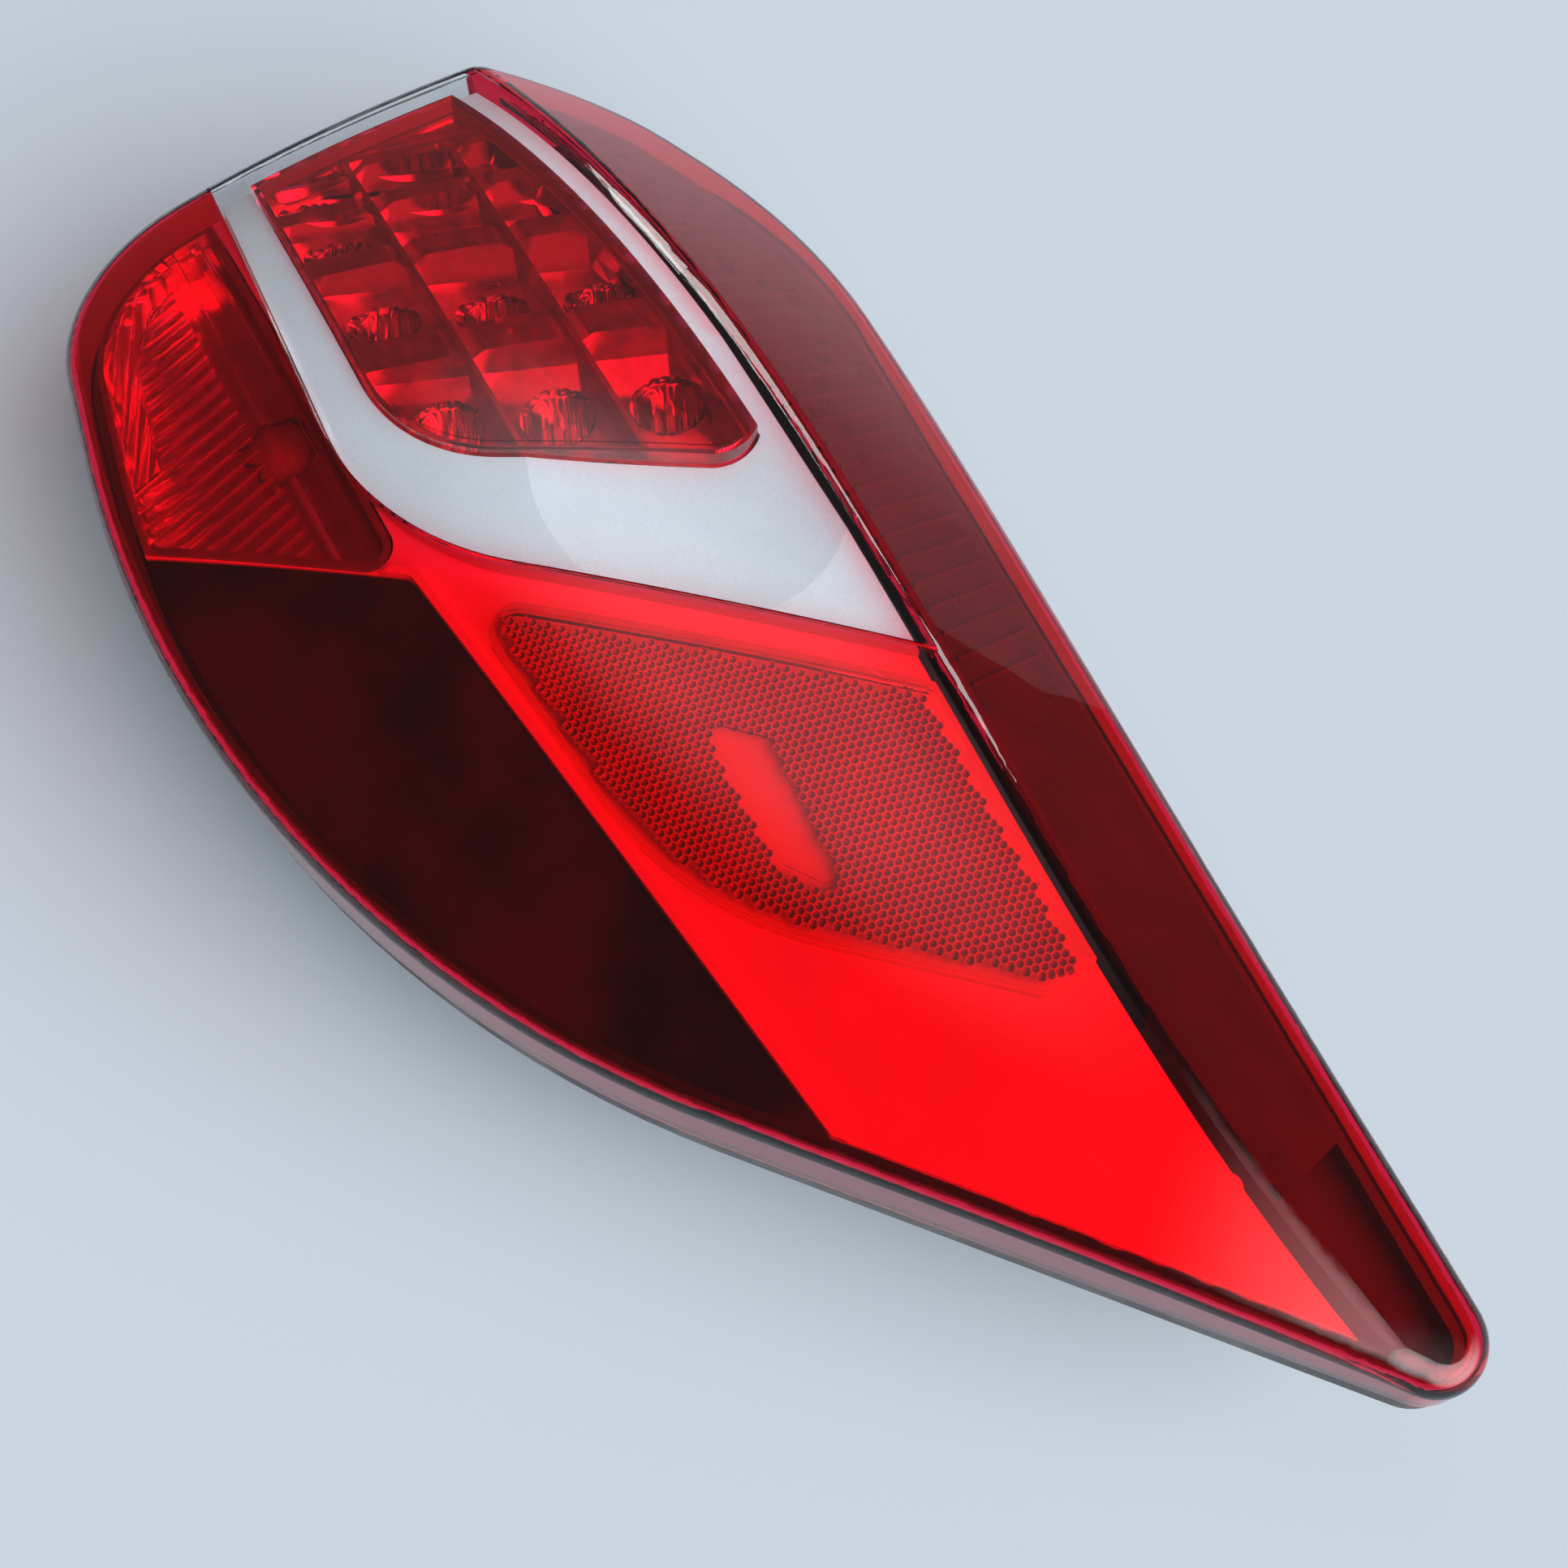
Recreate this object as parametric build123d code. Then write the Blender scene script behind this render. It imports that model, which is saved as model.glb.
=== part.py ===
from build123d import *
import os
from math import radians, sqrt, tan

# A car's tail light cluster, lying on its three studs with the lens up.
# X runs from the wide head to the pointed tip, Z points out through the lens.
# Plan positions are (x, y) in millimetres; depths are measured down from the lens.

# Lens outline: five corners, counter-clockwise from the tip, and their radii
TIP_X = 257.5
TIP_Y = 10.5
TIP_RADIUS = 14.0
SHOULDER_X = -107.0
SHOULDER_Y = 121.0
SHOULDER_RADIUS = 134.0
HEAD_RIGHT_X = -188.0
HEAD_RIGHT_Y = 101.6
HEAD_RIGHT_RADIUS = 60.0
HEAD_LEFT_X = -241.0
HEAD_LEFT_Y = -52.5
HEAD_LEFT_RADIUS = 47.0
BELLY_X = -49.5
BELLY_Y = -140.0
BELLY_RADIUS = 290.0

# Rounded corners: the least radius, and how much of a side its two arcs may take
SMALLEST_RADIUS = 0.5
SIDE_FILL = 0.99

# Reach of construction solids past the lamp, and how far a cut or root passes a face
REACH = 300.0
CUT = 1.0

# Heights, from the stud ends up
STUD_LENGTH = 20.0
GASKET_THICKNESS = 4.0
BUCKET_DEPTH = 32.0
TRAY_DEPTH = 10.0

# Lens form: the roof's long curve as (x, height over the rim) control points, and the
# inclined band's foot as (x, y, height over the rim) and top as (x, y, height over the roof)
ROOF_HEAD_OVERRUN = 24.0
ROOF_TIP_OVERRUN = 27.5
BAND_HEAD_OVERRUN = 21.0
BAND_TIP_OVERRUN = 12.5
ROOF_SPINE = [(HEAD_LEFT_X - ROOF_HEAD_OVERRUN, 0), (-224, 47.5), (-184, 55), (0, 70.5),
              (TIP_X + ROOF_TIP_OVERRUN, 10)]
ROOF_CROWN_Y = 55.0
ROOF_CROWN_RADIUS = 455.0
BAND_HEAD_X = HEAD_LEFT_X - BAND_HEAD_OVERRUN
BAND_TIP_X = TIP_X + BAND_TIP_OVERRUN
BAND_FOOT = [(BAND_TIP_X, 20.5, 14), (90, 22.5, 14), (-90, 187, 14), (BAND_HEAD_X, 70, 14)]
BAND_TOP = [(BAND_TIP_X, -1, -0.2), (90, -20, 9.1), (-90, 115, 26.4), (BAND_HEAD_X, 58, 25.3)]
BAND_NORMAL = Vector(0.2, 0.62, 0.75)
LENS_WALL = 3.0
BAND_REACH = 0.8
CREASE_RADIUS = 10.0
CREASE_OVERRUN = 10.0
RIM_RADIUS = 7.0
TONGUE_HEIGHT = 6.0
TONGUE_STEP = 1.5
SEAM_WIDTH = 0.8
SEAM_DEPTH = 0.6

# Housing
HOUSING_WALL = 2.5
FLANGE_INSET = 0.8
GROOVE_CLEARANCE = 0.2
GROOVE_LIP = 2.6
SEAL_THICKNESS = 1.0
BUCKET_INSET = 16.0
BUCKET_END_X = 125.0
BUCKET_END_RADIUS = 20.0
BUCKET_EDGE_RADIUS = 5.0
GUSSET_ROWS = [-14.0, 14.0]
GUSSET_TIP_X = 200.0
GUSSET_HEIGHT = 24.0
GUSSET_THICKNESS = 2.5
GASKET_MARGIN = 7.0
GASKET_WIDTH = 10.0

# Depths of the layers under the lens
INNER_LENS_DEPTH = 5.0
INNER_LENS_WALL = 1.8
REFLEX_DEPTH = 6.0
REFLEX_THICKNESS = 3.0
REFLEX_SKIRT = 2.0
REFLEX_BEVEL = 3.5
REFLEX_BEVEL_DROP = 1.8
REFLEX_PANE_DEPTH = 0.6
BEZEL_DEPTH = 8.0
BEZEL_SCOOP = 1.6
BEZEL_SCOOP_RADIUS = 420.0
SCOOP_X = -45.0
SCOOP_Y = 0.0
PANEL_DEPTH = 12.0
PANEL_THICKNESS = 2.5
PANEL_INSET = 8.0
PANEL_GAP = 0.6
EDGE_RIB_WIDTH = 2.2
EDGE_RIB_HEIGHT = 2.0
SIDE_DEPTH = 8.0
SIDE_THICKNESS = 2.5

# Plan regions of the lens face, each a list of corners with its radii
CLEAR_CORNERS = [(-94, -45.3), (60, 56.3), (-300, 160), (-300, 20.6)]
CLEAR_RADII = [80, 1, 1, 1]
BEZEL_MARGIN = 1.5
WINDOW_CORNERS = [(-109, -23), (-34, 48), (-300, 99.9), (-300, 27.3)]
WINDOW_RADII = [45, 12, 1, 1]
REFLEX_CORNERS = [(-70, -38), (30, -53), (124, 9), (41, 37)]
REFLEX_RADII = [7, 100, 12, 7]
PANE_CORNERS = [(1.3, -17), (40.2, -27.4), (55.4, -21.7), (14.7, -9)]
PANE_RADII = [2, 2, 2, 2]
TURN_CORNERS = [(-201, -126), (-84, -42), (-280, 6), (-330, -80)]
TURN_RADII = [1, 6, 1, 1]
DARK_CORNERS = [(-201, -129), (150, -220), (150, -68), (-83, -43)]
DARK_RADII = [1, 1, 1, 4]

# Distances kept from the crease, in plan
REFLEX_CREASE_MARGIN = 3.0
BEZEL_CREASE_MARGIN = 2.5
PANEL_CREASE_MARGIN = 2.5
WINDOW_CREASE_MARGIN = 9.0
SIDE_CREASE_MARGIN = 3.0

# Diode array: rows across the window at places along the columns, each on a tilted terrace,
# and bright lands between the rows
LED_COLUMNS = 3
LED_FIRST = Vector(-95.0, 17.0)
LED_ROW_STEP = Vector(17.0, 24.0)
LED_COLUMN_STEP = Vector(-33.0, 8.0)
LED_ROW_PLACES = [0.0, 40.0, 70.0, 90.0]
TERRACE_TILTS = [8.0, 20.0, 28.0, 30.0]
CUP_WIDTHS = [9.0, 7.0, 5.2, 4.2]
LAND_PLACES = [25.0, 61.0, 83.0, 100.0]
LAND_WIDTHS = [10.0, 7.0, 5.0, 3.0]
LAND_DEPTH = 13.0
LAND_ROOT = 3.0
LAND_BEVEL = 4.0
HEAD_RIB_PITCH = 4.0
HEAD_RIB_WIDTH = 1.8
HEAD_RIB_HEIGHT = 1.2
TERRACE_DROP = 7.0
TERRACE_THICKNESS = 9.0
WINDOW_WALL = 2.5
CUP_LENGTH = 9.0
CUP_SEAT = 1.2
CUP_SEAT_DEPTH = 2.0
CUP_FLARE = 3.2
CUP_FLARE_HEIGHT = 7.0
CUP_EXIT_RADIUS = 4.0
DIVIDER_THICKNESS = 1.4
OPTIC_CLEARANCE = 0.1
OPTIC_FLUTES = 7
OPTIC_FLUTE_RISE = 0.8
BOARD_INSET = 10.0
BOARD_THICKNESS = 1.2
BOARD_GAP = 0.5
CHIP_SIZE = 5.0
CHIP_HEIGHT = 1.6
INNER_STEP_WIDTH = 2.4
INNER_STEP_DEPTH = 0.4
MARK_X = -127.4
MARK_Y = 24.1
MARK_RADIUS = 3.0
MARK_WIDTH = 0.8
MARK_HEIGHT = 0.3

# Turn signal: three plan points that set the inner lens's plane, the tub under it, and the bulb
TURN_PLANE_POINTS = [(-210, -45), (-141, -76), (-92, -45)]
TURN_LENS_DEPTH = 17.0
TURN_LENS_THICKNESS = 2.5
TURN_LENS_GAP = 0.2
TURN_WALL = 2.0
TURN_LEDGE = 1.5
TUB_DEPTH = 7.5
TUB_FLOOR_THICKNESS = 2.0
FLUTE_PITCH = 5.0
FLUTE_RISE = 1.2
FLUTE_VALLEY = 0.2
EDGE_FLUTE_PITCH = 4.0
EDGE_FLUTE_WIDTH = 8.0
EDGE_GROOVE = 0.8
EDGE_FLUTE_TURN = 50.0
EDGE_FLUTE_END_X = -165.0
BAR_DISTANCES = [5.0, 12.5]
BAR_WIDTH = 3.0
BAR_HEIGHT = 3.0
FLUTE_SIDE_MARGIN = 18.0
BULB_X = -150.0
BULB_Y = -38.0
BULB_RADIUS = 9.5
BULB_NECK_RADIUS = 7.0
BULB_HEADROOM = 2.0
BULB_BASE_RADIUS = 7.5
BULB_BASE_LENGTH = 22.0
BULB_BASE_SEAT = 12.0
BULB_CLEARANCE = 0.8
HOLDER_RADIUS = 12.0
HOLDER_CLEARANCE = 0.4
HOLDER_FLANGE_RADIUS = 15.5
HOLDER_FLANGE_THICKNESS = 3.0
HOLDER_GRIP_RADIUS = 9.0
HOLDER_GRIP_LENGTH = 8.0
HOLDER_INNER_LENGTH = 16.0
HOLDER_WINGS = 3
HOLDER_WING_THICKNESS = 3.5
HOLDER_SEAL_THICKNESS = 1.5

# Posts that carry the inner pieces, as plan points
POST_RADIUS = 3.5
TAIL_POSTS = [(100, -20), (-40, -25)]
TIP_POST = (165, -2)
DARK_POSTS = [(20, -62), (-85, -68)]
TURN_POSTS = [(-195, -38), (-128, -66), (-108, -46)]
LED_POSTS = [(-63, 27), (-149, -7.5), (-95, 50), (-177, 28)]
SIDE_POST_SHARES = [0.3, 0.55, 0.9]
SIDE_POST_INSET = 12.5
SIDE_POST_RADIUS = 2.5
SIDE_END_X = 175.0
SIDE_RIB_COUNT = 32
SIDE_RIB_FIRST = 0.43
SIDE_RIB_LAST = 0.86
SIDE_RIB_WIDTH = 3.0
SIDE_RIB_HEIGHT = 1.2
SIDE_RIB_INSET = 3.0

# Fasteners and fittings on the back
SCREW_RADIUS = 1.5
SCREW_HEAD_RADIUS = 3.2
SCREW_HEAD_HEIGHT = 2.0
SCREW_LENGTH = 12.0
SCREW_CLEARANCE = 0.15
SCREW_TIP_GAP = 0.5
BOARD_SCREW_LENGTH = 6.0
BOARD_SCREW_OFFSET = 4.0
STUD_RADIUS = 3.0
STUD_CHAMFER = 1.0
STUD_FLANGE_RADIUS = 7.0
STUD_FLANGE_THICKNESS = 2.0
STUD_POINTS = [(-161, 47), (-118, -56), (85, 8)]
CONNECTOR_X = 22.0
CONNECTOR_Y = -18.0
CONNECTOR_LENGTH = 36.0
CONNECTOR_WIDTH = 20.0
CONNECTOR_HEIGHT = 16.0
CONNECTOR_WALL = 2.0
LATCH_LENGTH = 8.0
LATCH_REACH = 2.0
PIN_COUNT = 4
PIN_PITCH = 6.5
PIN_WIDTH = 1.8
PIN_LENGTH = 22.0
VENT_X = -25.0
VENT_Y = 22.0
VENT_RADIUS = 7.0
VENT_HEIGHT = 6.0
VENT_HOLE_RADIUS = 2.5


def corner_points(corners, inset):
    """Corners of a polygon whose sides are moved inwards."""
    sides = []
    for (ax, ay), (bx, by) in zip(corners, corners[1:] + corners[:1]):
        along = Vector(bx - ax, by - ay).normalized()
        start = Vector(ax, ay) + Vector(-along.Y, along.X) * inset
        sides.append((start, along))
    points = []
    for (p, d), (q, e) in zip(sides[-1:] + sides[:-1], sides):
        gap = q - p
        t = (gap.X * e.Y - gap.Y * e.X) / (d.X * e.Y - d.Y * e.X)
        points.append(p + d * t)
    return points


def region(corners, radii, inset=0.0):
    """Rounded polygon in plan, its sides moved inwards and its arcs concentric."""
    points = corner_points(corners, inset)
    radii = [max(radius - inset, SMALLEST_RADIUS) for radius in radii]
    sides = [b - a for a, b in zip(points, points[1:] + points[:1])]
    arc_shares = []
    for radius, before, after in zip(radii, sides[-1:] + sides[:-1], sides):
        arc_shares.append(radius * tan(radians(before.get_angle(after)) / 2))
    fits = []
    for n, side in enumerate(sides):
        fits.append(min(1, SIDE_FILL * side.length / (arc_shares[n] + arc_shares[(n + 1) % len(sides)])))
    face = make_face(Polyline(*[(p.X, p.Y) for p in points], close=True))
    for n, point in enumerate(points):
        corner = face.vertices().sort_by_distance(point)[0]
        face = fillet(corner, radii[n] * min(fits[n - 1], fits[n]))
    return face


OUTLINE_CORNERS = [(TIP_X, TIP_Y), (SHOULDER_X, SHOULDER_Y), (HEAD_RIGHT_X, HEAD_RIGHT_Y),
                   (HEAD_LEFT_X, HEAD_LEFT_Y), (BELLY_X, BELLY_Y)]
OUTLINE_RADII = [TIP_RADIUS, SHOULDER_RADIUS, HEAD_RIGHT_RADIUS, HEAD_LEFT_RADIUS, BELLY_RADIUS]

SEAT_Z = STUD_LENGTH
BACK_Z = SEAT_Z + GASKET_THICKNESS
TRAY_Z = BACK_Z + BUCKET_DEPTH
RIM_Z = TRAY_Z + TRAY_DEPTH
SKY_Z = RIM_Z + REACH / 2


def outline(inset):
    return region(OUTLINE_CORNERS, OUTLINE_RADII, inset)


def prism(face, low, high):
    return extrude(Pos(0, 0, low) * face, high - low)


def crown(a, b):
    """Drop of the roof's cross curve, as a control point between a and b."""
    return -(a - ROOF_CROWN_Y) * (b - ROOF_CROWN_Y) / (2 * ROOF_CROWN_RADIUS)


def curve_point(points, t):
    """Point of a Bezier curve."""
    points = [Vector(*p) for p in points]
    while len(points) > 1:
        points = [a + (b - a) * t for a, b in zip(points, points[1:])]
    return points[0]


def roof_z(x, y, depth):
    """Height of the moved-down roof over a plan point."""
    low, high = 0.0, 1.0
    for step in range(50):
        t = (low + high) / 2
        point = curve_point(ROOF_SPINE, t)
        if point.X < x:
            low = t
        else:
            high = t
    return RIM_Z + point.Y + crown(y, y) - depth


def band_foot(depth):
    return [Vector(x, y, RIM_Z + h) - BAND_NORMAL * depth for x, y, h in BAND_FOOT]


def band_top(depth):
    return [Vector(x, y, roof_z(x, y, 0) + h) - BAND_NORMAL * depth for x, y, h in BAND_TOP]


def roof(depth):
    """The lens's domed face, moved down."""
    y0, y1 = -REACH, REACH
    cross = [(y0, crown(y0, y0)), ((y0 + y1) / 2, crown(y0, y1)), (y1, crown(y1, y1))]
    return Face.make_bezier_surface(
        [[Vector(x, y, RIM_Z + h + drop - depth) for y, drop in cross] for x, h in ROOF_SPINE])


def band(depth):
    """The lens's inclined face along its straight side, moved in along its normal."""
    rows = []
    for foot, top in zip(band_foot(depth), band_top(depth)):
        reach = (top - foot) * BAND_REACH
        rows.append([foot - reach, top + reach])
    return Face.make_bezier_surface(rows)


UP = (0, 0, 1)
DOWN = (0, 0, -1)


def under_roof(shape, depth):
    return shape - extrude(roof(depth), REACH, dir=UP)


def over_roof(shape, depth):
    return shape - extrude(roof(depth), REACH, dir=DOWN)


def under_band(shape, depth):
    return shape - extrude(band(depth), REACH, dir=UP)


def over_band(shape, depth):
    return shape - extrude(band(depth), REACH, dir=DOWN)


def layer(face, top, bottom):
    """Plate that follows the roof between two depths."""
    return over_roof(under_roof(prism(face, BACK_Z, SKY_Z), top), bottom)


def main_side(margin):
    """Plan of everything on the roof's side of the crease, less a margin."""
    points = [(x, y - margin) for x, y, h in BAND_TOP]
    crease = Bezier(*points)
    return make_face([crease, Polyline(points[-1], (-REACH, -REACH), (REACH, -REACH), points[0])])


def envelope(inset, depth, crease_radius, rim_radius):
    """Solid inside the lens surface, with its crease rounded first and then its rim."""
    block = outline(0).bounding_box()
    ends = Rectangle(block.size.X + 2 * CREASE_OVERRUN, block.size.Y + 2 * CREASE_OVERRUN)
    body = prism(Pos(block.center().X, block.center().Y) * ends, RIM_Z, SKY_Z)
    body = under_band(under_roof(body, depth), depth)
    top = band_top(depth)
    crease = body.edges().sort_by_distance(curve_point(top, 0.5))[0]
    body = fillet(crease, crease_radius) & prism(outline(inset), RIM_Z, SKY_Z)
    rim = [e for e in body.edges() if e.bounding_box().min.Z > RIM_Z + SMALLEST_RADIUS]
    wall = outline(inset).wire()
    middles = [(e, e @ 0.5) for e in rim]
    rim = [e for e, m in middles if wall.distance_to(Vertex(m.X, m.Y, 0)) < SMALLEST_RADIUS]
    return fillet(rim, rim_radius)


def post(x, y, radius, foot):
    return Pos(x, y, foot) * Cylinder(radius, SKY_Z - foot, align=(Align.CENTER, Align.CENTER, Align.MIN))


def disc(x, y, radius, low, high):
    return Pos(x, y, low) * Cylinder(radius, high - low, align=(Align.CENTER, Align.CENTER, Align.MIN))


# Outer lens, moulded in two colours
outer = envelope(0, 0, CREASE_RADIUS, RIM_RADIUS)
inner = envelope(LENS_WALL, LENS_WALL, CREASE_RADIUS - LENS_WALL, RIM_RADIUS - LENS_WALL)
tongue = outline(TONGUE_STEP) - outline(LENS_WALL)
lens = outer - inner + prism(tongue, RIM_Z - TONGUE_HEIGHT, RIM_Z)
clear_face = region(CLEAR_CORNERS, CLEAR_RADII) & main_side(0)
clear_prism = prism(clear_face, BACK_Z, SKY_Z)
clear_lens_insert = lens & clear_prism
red_outer_lens = lens - clear_prism
seam_face = region(CLEAR_CORNERS, CLEAR_RADII, -SEAM_WIDTH) & main_side(-SEAM_WIDTH)
red_outer_lens -= over_roof(prism(seam_face, RIM_Z, SKY_Z), SEAM_DEPTH)

# Plan faces of the inner pieces
panel_face = outline(PANEL_INSET) & main_side(PANEL_CREASE_MARGIN)


def window_face(inset):
    face = region(WINDOW_CORNERS, WINDOW_RADII, inset) & main_side(WINDOW_CREASE_MARGIN + inset)
    return face & outline(PANEL_INSET + inset)


def turn_region(inset):
    return region(TURN_CORNERS, TURN_RADII, inset)


def turn_face(inset):
    return turn_region(inset) & outline(PANEL_INSET + inset)


def reflex_face(inset):
    return region(REFLEX_CORNERS, REFLEX_RADII, inset) & main_side(REFLEX_CREASE_MARGIN + inset)


# Housing: a shallow tray with the lens groove, and a deep bucket behind it
FLOOR_Z = BACK_Z + HOUSING_WALL
TRAY_FLOOR_Z = TRAY_Z + HOUSING_WALL


def bucket_face(inset):
    end = BUCKET_END_X - inset
    face = outline(BUCKET_INSET + inset) & Pos(end - REACH, 0) * Rectangle(2 * REACH, 2 * REACH)
    corners = [v for v in face.vertices() if v.X > end - SMALLEST_RADIUS]
    return fillet(corners, max(BUCKET_END_RADIUS - inset, SMALLEST_RADIUS))


bucket = prism(bucket_face(0), BACK_Z, TRAY_FLOOR_Z)
bucket = fillet(bucket.faces().sort_by(Axis.Z)[0].edges(), BUCKET_EDGE_RADIUS)
groove = outline(TONGUE_STEP - GROOVE_CLEARANCE) - outline(LENS_WALL + GROOVE_CLEARANCE)
groove_z = RIM_Z - TONGUE_HEIGHT - SEAL_THICKNESS
housing = prism(outline(FLANGE_INSET), TRAY_Z, RIM_Z) + bucket
housing -= prism(outline(LENS_WALL + GROOVE_CLEARANCE + GROOVE_LIP), TRAY_FLOOR_Z, RIM_Z)
housing -= prism(bucket_face(HOUSING_WALL), FLOOR_Z, TRAY_FLOOR_Z)
housing -= prism(groove, groove_z, RIM_Z)
for y in GUSSET_ROWS:
    gusset = [(BUCKET_END_X - CUT, TRAY_Z + CUT), (GUSSET_TIP_X, TRAY_Z + CUT), (GUSSET_TIP_X, TRAY_Z),
              (BUCKET_END_X - CUT, TRAY_Z - GUSSET_HEIGHT)]
    gusset_face = Plane.XZ.offset(-y) * make_face(Polyline(*gusset, close=True))
    housing += extrude(gusset_face, GUSSET_THICKNESS / 2, both=True)
lens_seal = prism(groove, groove_z, groove_z + SEAL_THICKNESS)
foam_gasket = prism(bucket_face(GASKET_MARGIN) - bucket_face(GASKET_MARGIN + GASKET_WIDTH), SEAT_Z, BACK_Z)

# Bright and dark panels under the lens
window_cut = region(WINDOW_CORNERS, WINDOW_RADII, -PANEL_GAP) & main_side(WINDOW_CREASE_MARGIN - PANEL_GAP)
turn_cut = turn_region(-PANEL_GAP)
dark_face = outline(PANEL_INSET) & region(DARK_CORNERS, DARK_RADII)
tail_face = panel_face - window_cut - turn_cut - region(DARK_CORNERS, DARK_RADII, -PANEL_GAP)
PANEL_BOTTOM = PANEL_DEPTH + PANEL_THICKNESS


def carried(panel, points, foot):
    """Panel with posts down to a housing floor."""
    for x, y in points:
        panel += under_roof(post(x, y, POST_RADIUS, foot), PANEL_DEPTH + PANEL_THICKNESS / 2)
    return panel


tail_panel = layer(tail_face, PANEL_DEPTH, PANEL_BOTTOM)
edge_rib = region(DARK_CORNERS, DARK_RADII, -PANEL_GAP - EDGE_RIB_WIDTH) & tail_face
edge_rib -= turn_region(-PANEL_GAP - EDGE_RIB_WIDTH)
tail_panel += layer(edge_rib, PANEL_DEPTH - EDGE_RIB_HEIGHT, PANEL_DEPTH + PANEL_THICKNESS / 2)
tail_reflector = carried(tail_panel, TAIL_POSTS, FLOOR_Z)
tail_reflector = carried(tail_reflector, [TIP_POST], TRAY_FLOOR_Z)
dark_inner_bezel = carried(layer(dark_face, PANEL_DEPTH, PANEL_BOTTOM), DARK_POSTS, FLOOR_Z)

# Bezel under the clear insert, with a shallow scoop in its broad end
bezel_face = region(CLEAR_CORNERS, CLEAR_RADII, BEZEL_MARGIN) & main_side(BEZEL_CREASE_MARGIN)
bezel_face = (bezel_face & outline(PANEL_INSET)) - window_cut
silver_bezel = layer(bezel_face, BEZEL_DEPTH, PANEL_DEPTH)
scoop_z = roof_z(SCOOP_X, SCOOP_Y, BEZEL_DEPTH + BEZEL_SCOOP) + BEZEL_SCOOP_RADIUS
silver_bezel -= Pos(SCOOP_X, SCOOP_Y, scoop_z) * Sphere(BEZEL_SCOOP_RADIUS)

# Reflex reflector: a plate on a skirt that stands on the bright panel
reflex_reflector = layer(reflex_face(0), REFLEX_DEPTH, PANEL_DEPTH)
reflex_top = reflex_reflector.faces().sort_by(SortBy.AREA)[-2:].sort_by(Axis.Z)[-1]
reflex_reflector = chamfer(reflex_top.edges(), REFLEX_BEVEL, REFLEX_BEVEL_DROP, reference=reflex_top)
reflex_reflector -= layer(reflex_face(REFLEX_SKIRT), REFLEX_DEPTH + REFLEX_THICKNESS, PANEL_DEPTH + CUT)
pane = prism(region(PANE_CORNERS, PANE_RADII), RIM_Z, SKY_Z)
reflex_reflector -= over_roof(pane, REFLEX_DEPTH + REFLEX_PANE_DEPTH)

# Inner lens over the diodes: a cover on a side wall, with a lowered border and a moulding mark
inner_lens = layer(window_face(0), INNER_LENS_DEPTH, PANEL_DEPTH)
led_inner_lens = inner_lens - layer(
    window_face(INNER_LENS_WALL), INNER_LENS_DEPTH + INNER_LENS_WALL, PANEL_DEPTH + CUT)
border = window_face(0) - window_face(INNER_STEP_WIDTH)
led_inner_lens -= over_roof(prism(border, RIM_Z, SKY_Z), INNER_LENS_DEPTH + INNER_STEP_DEPTH)
mark = Pos(MARK_X, MARK_Y) * (Circle(MARK_RADIUS) - Circle(MARK_RADIUS - MARK_WIDTH))
led_inner_lens += layer(mark, INNER_LENS_DEPTH - MARK_HEIGHT, INNER_LENS_DEPTH + INNER_LENS_WALL / 2)

# Diode reflector: a tilted terrace per row, lands between rows, dividers between columns
row_dir = LED_ROW_STEP.normalized()
column_dir = LED_COLUMN_STEP.normalized()
row_angle = row_dir.get_signed_angle(Vector(1, 0))
column_angle = column_dir.get_signed_angle(Vector(1, 0))
middle = (LED_COLUMNS - 1) / 2
LED_ROWS = len(LED_ROW_PLACES)


def led_point(place, column):
    """Plan point on a column, at a distance along it from the first row."""
    return LED_FIRST + column_dir * place + LED_ROW_STEP * (column - middle)


def led_place(x, y):
    """Distance of a plan point along the columns from the first row."""
    return (Vector(x, y) - LED_FIRST).cross(row_dir).Z / column_dir.cross(row_dir).Z


def led_strip(start, end):
    """Plan strip along the rows, between two distances along the columns."""
    reach = row_dir * REACH
    first, last = led_point(start, middle), led_point(end, middle)
    corners = [first - reach, first + reach, last + reach, last - reach]
    return make_face(Polyline(*[(c.X, c.Y) for c in corners], close=True))


def row_strip(row, gap):
    """Plan strip of one row, from the middle of one land to the middle of the next."""
    start = -REACH if row == 0 else LAND_PLACES[row - 1]
    return led_strip(start + gap, LAND_PLACES[row] - gap)


def terrace_z(row):
    cells = [led_point(LED_ROW_PLACES[row], column) for column in range(LED_COLUMNS)]
    return min(roof_z(c.X, c.Y, PANEL_DEPTH) for c in cells) - TERRACE_DROP


def terrace(row):
    """Frame on a row's terrace, its X along the row and its Z out of the diodes."""
    centre = led_point(LED_ROW_PLACES[row], middle)
    return Pos(centre.X, centre.Y, terrace_z(row)) * Rot(0, 0, row_angle) * Rot(-TERRACE_TILTS[row], 0, 0)


def row_plate(row, face, low, high):
    """Tilted plate of one row between two heights over its terrace, cut to a plan face."""
    plate = Pos(0, 0, (low + high) / 2) * Box(REACH, REACH, high - low)
    return terrace(row) * plate & prism(face, BACK_Z, SKY_Z)


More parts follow.
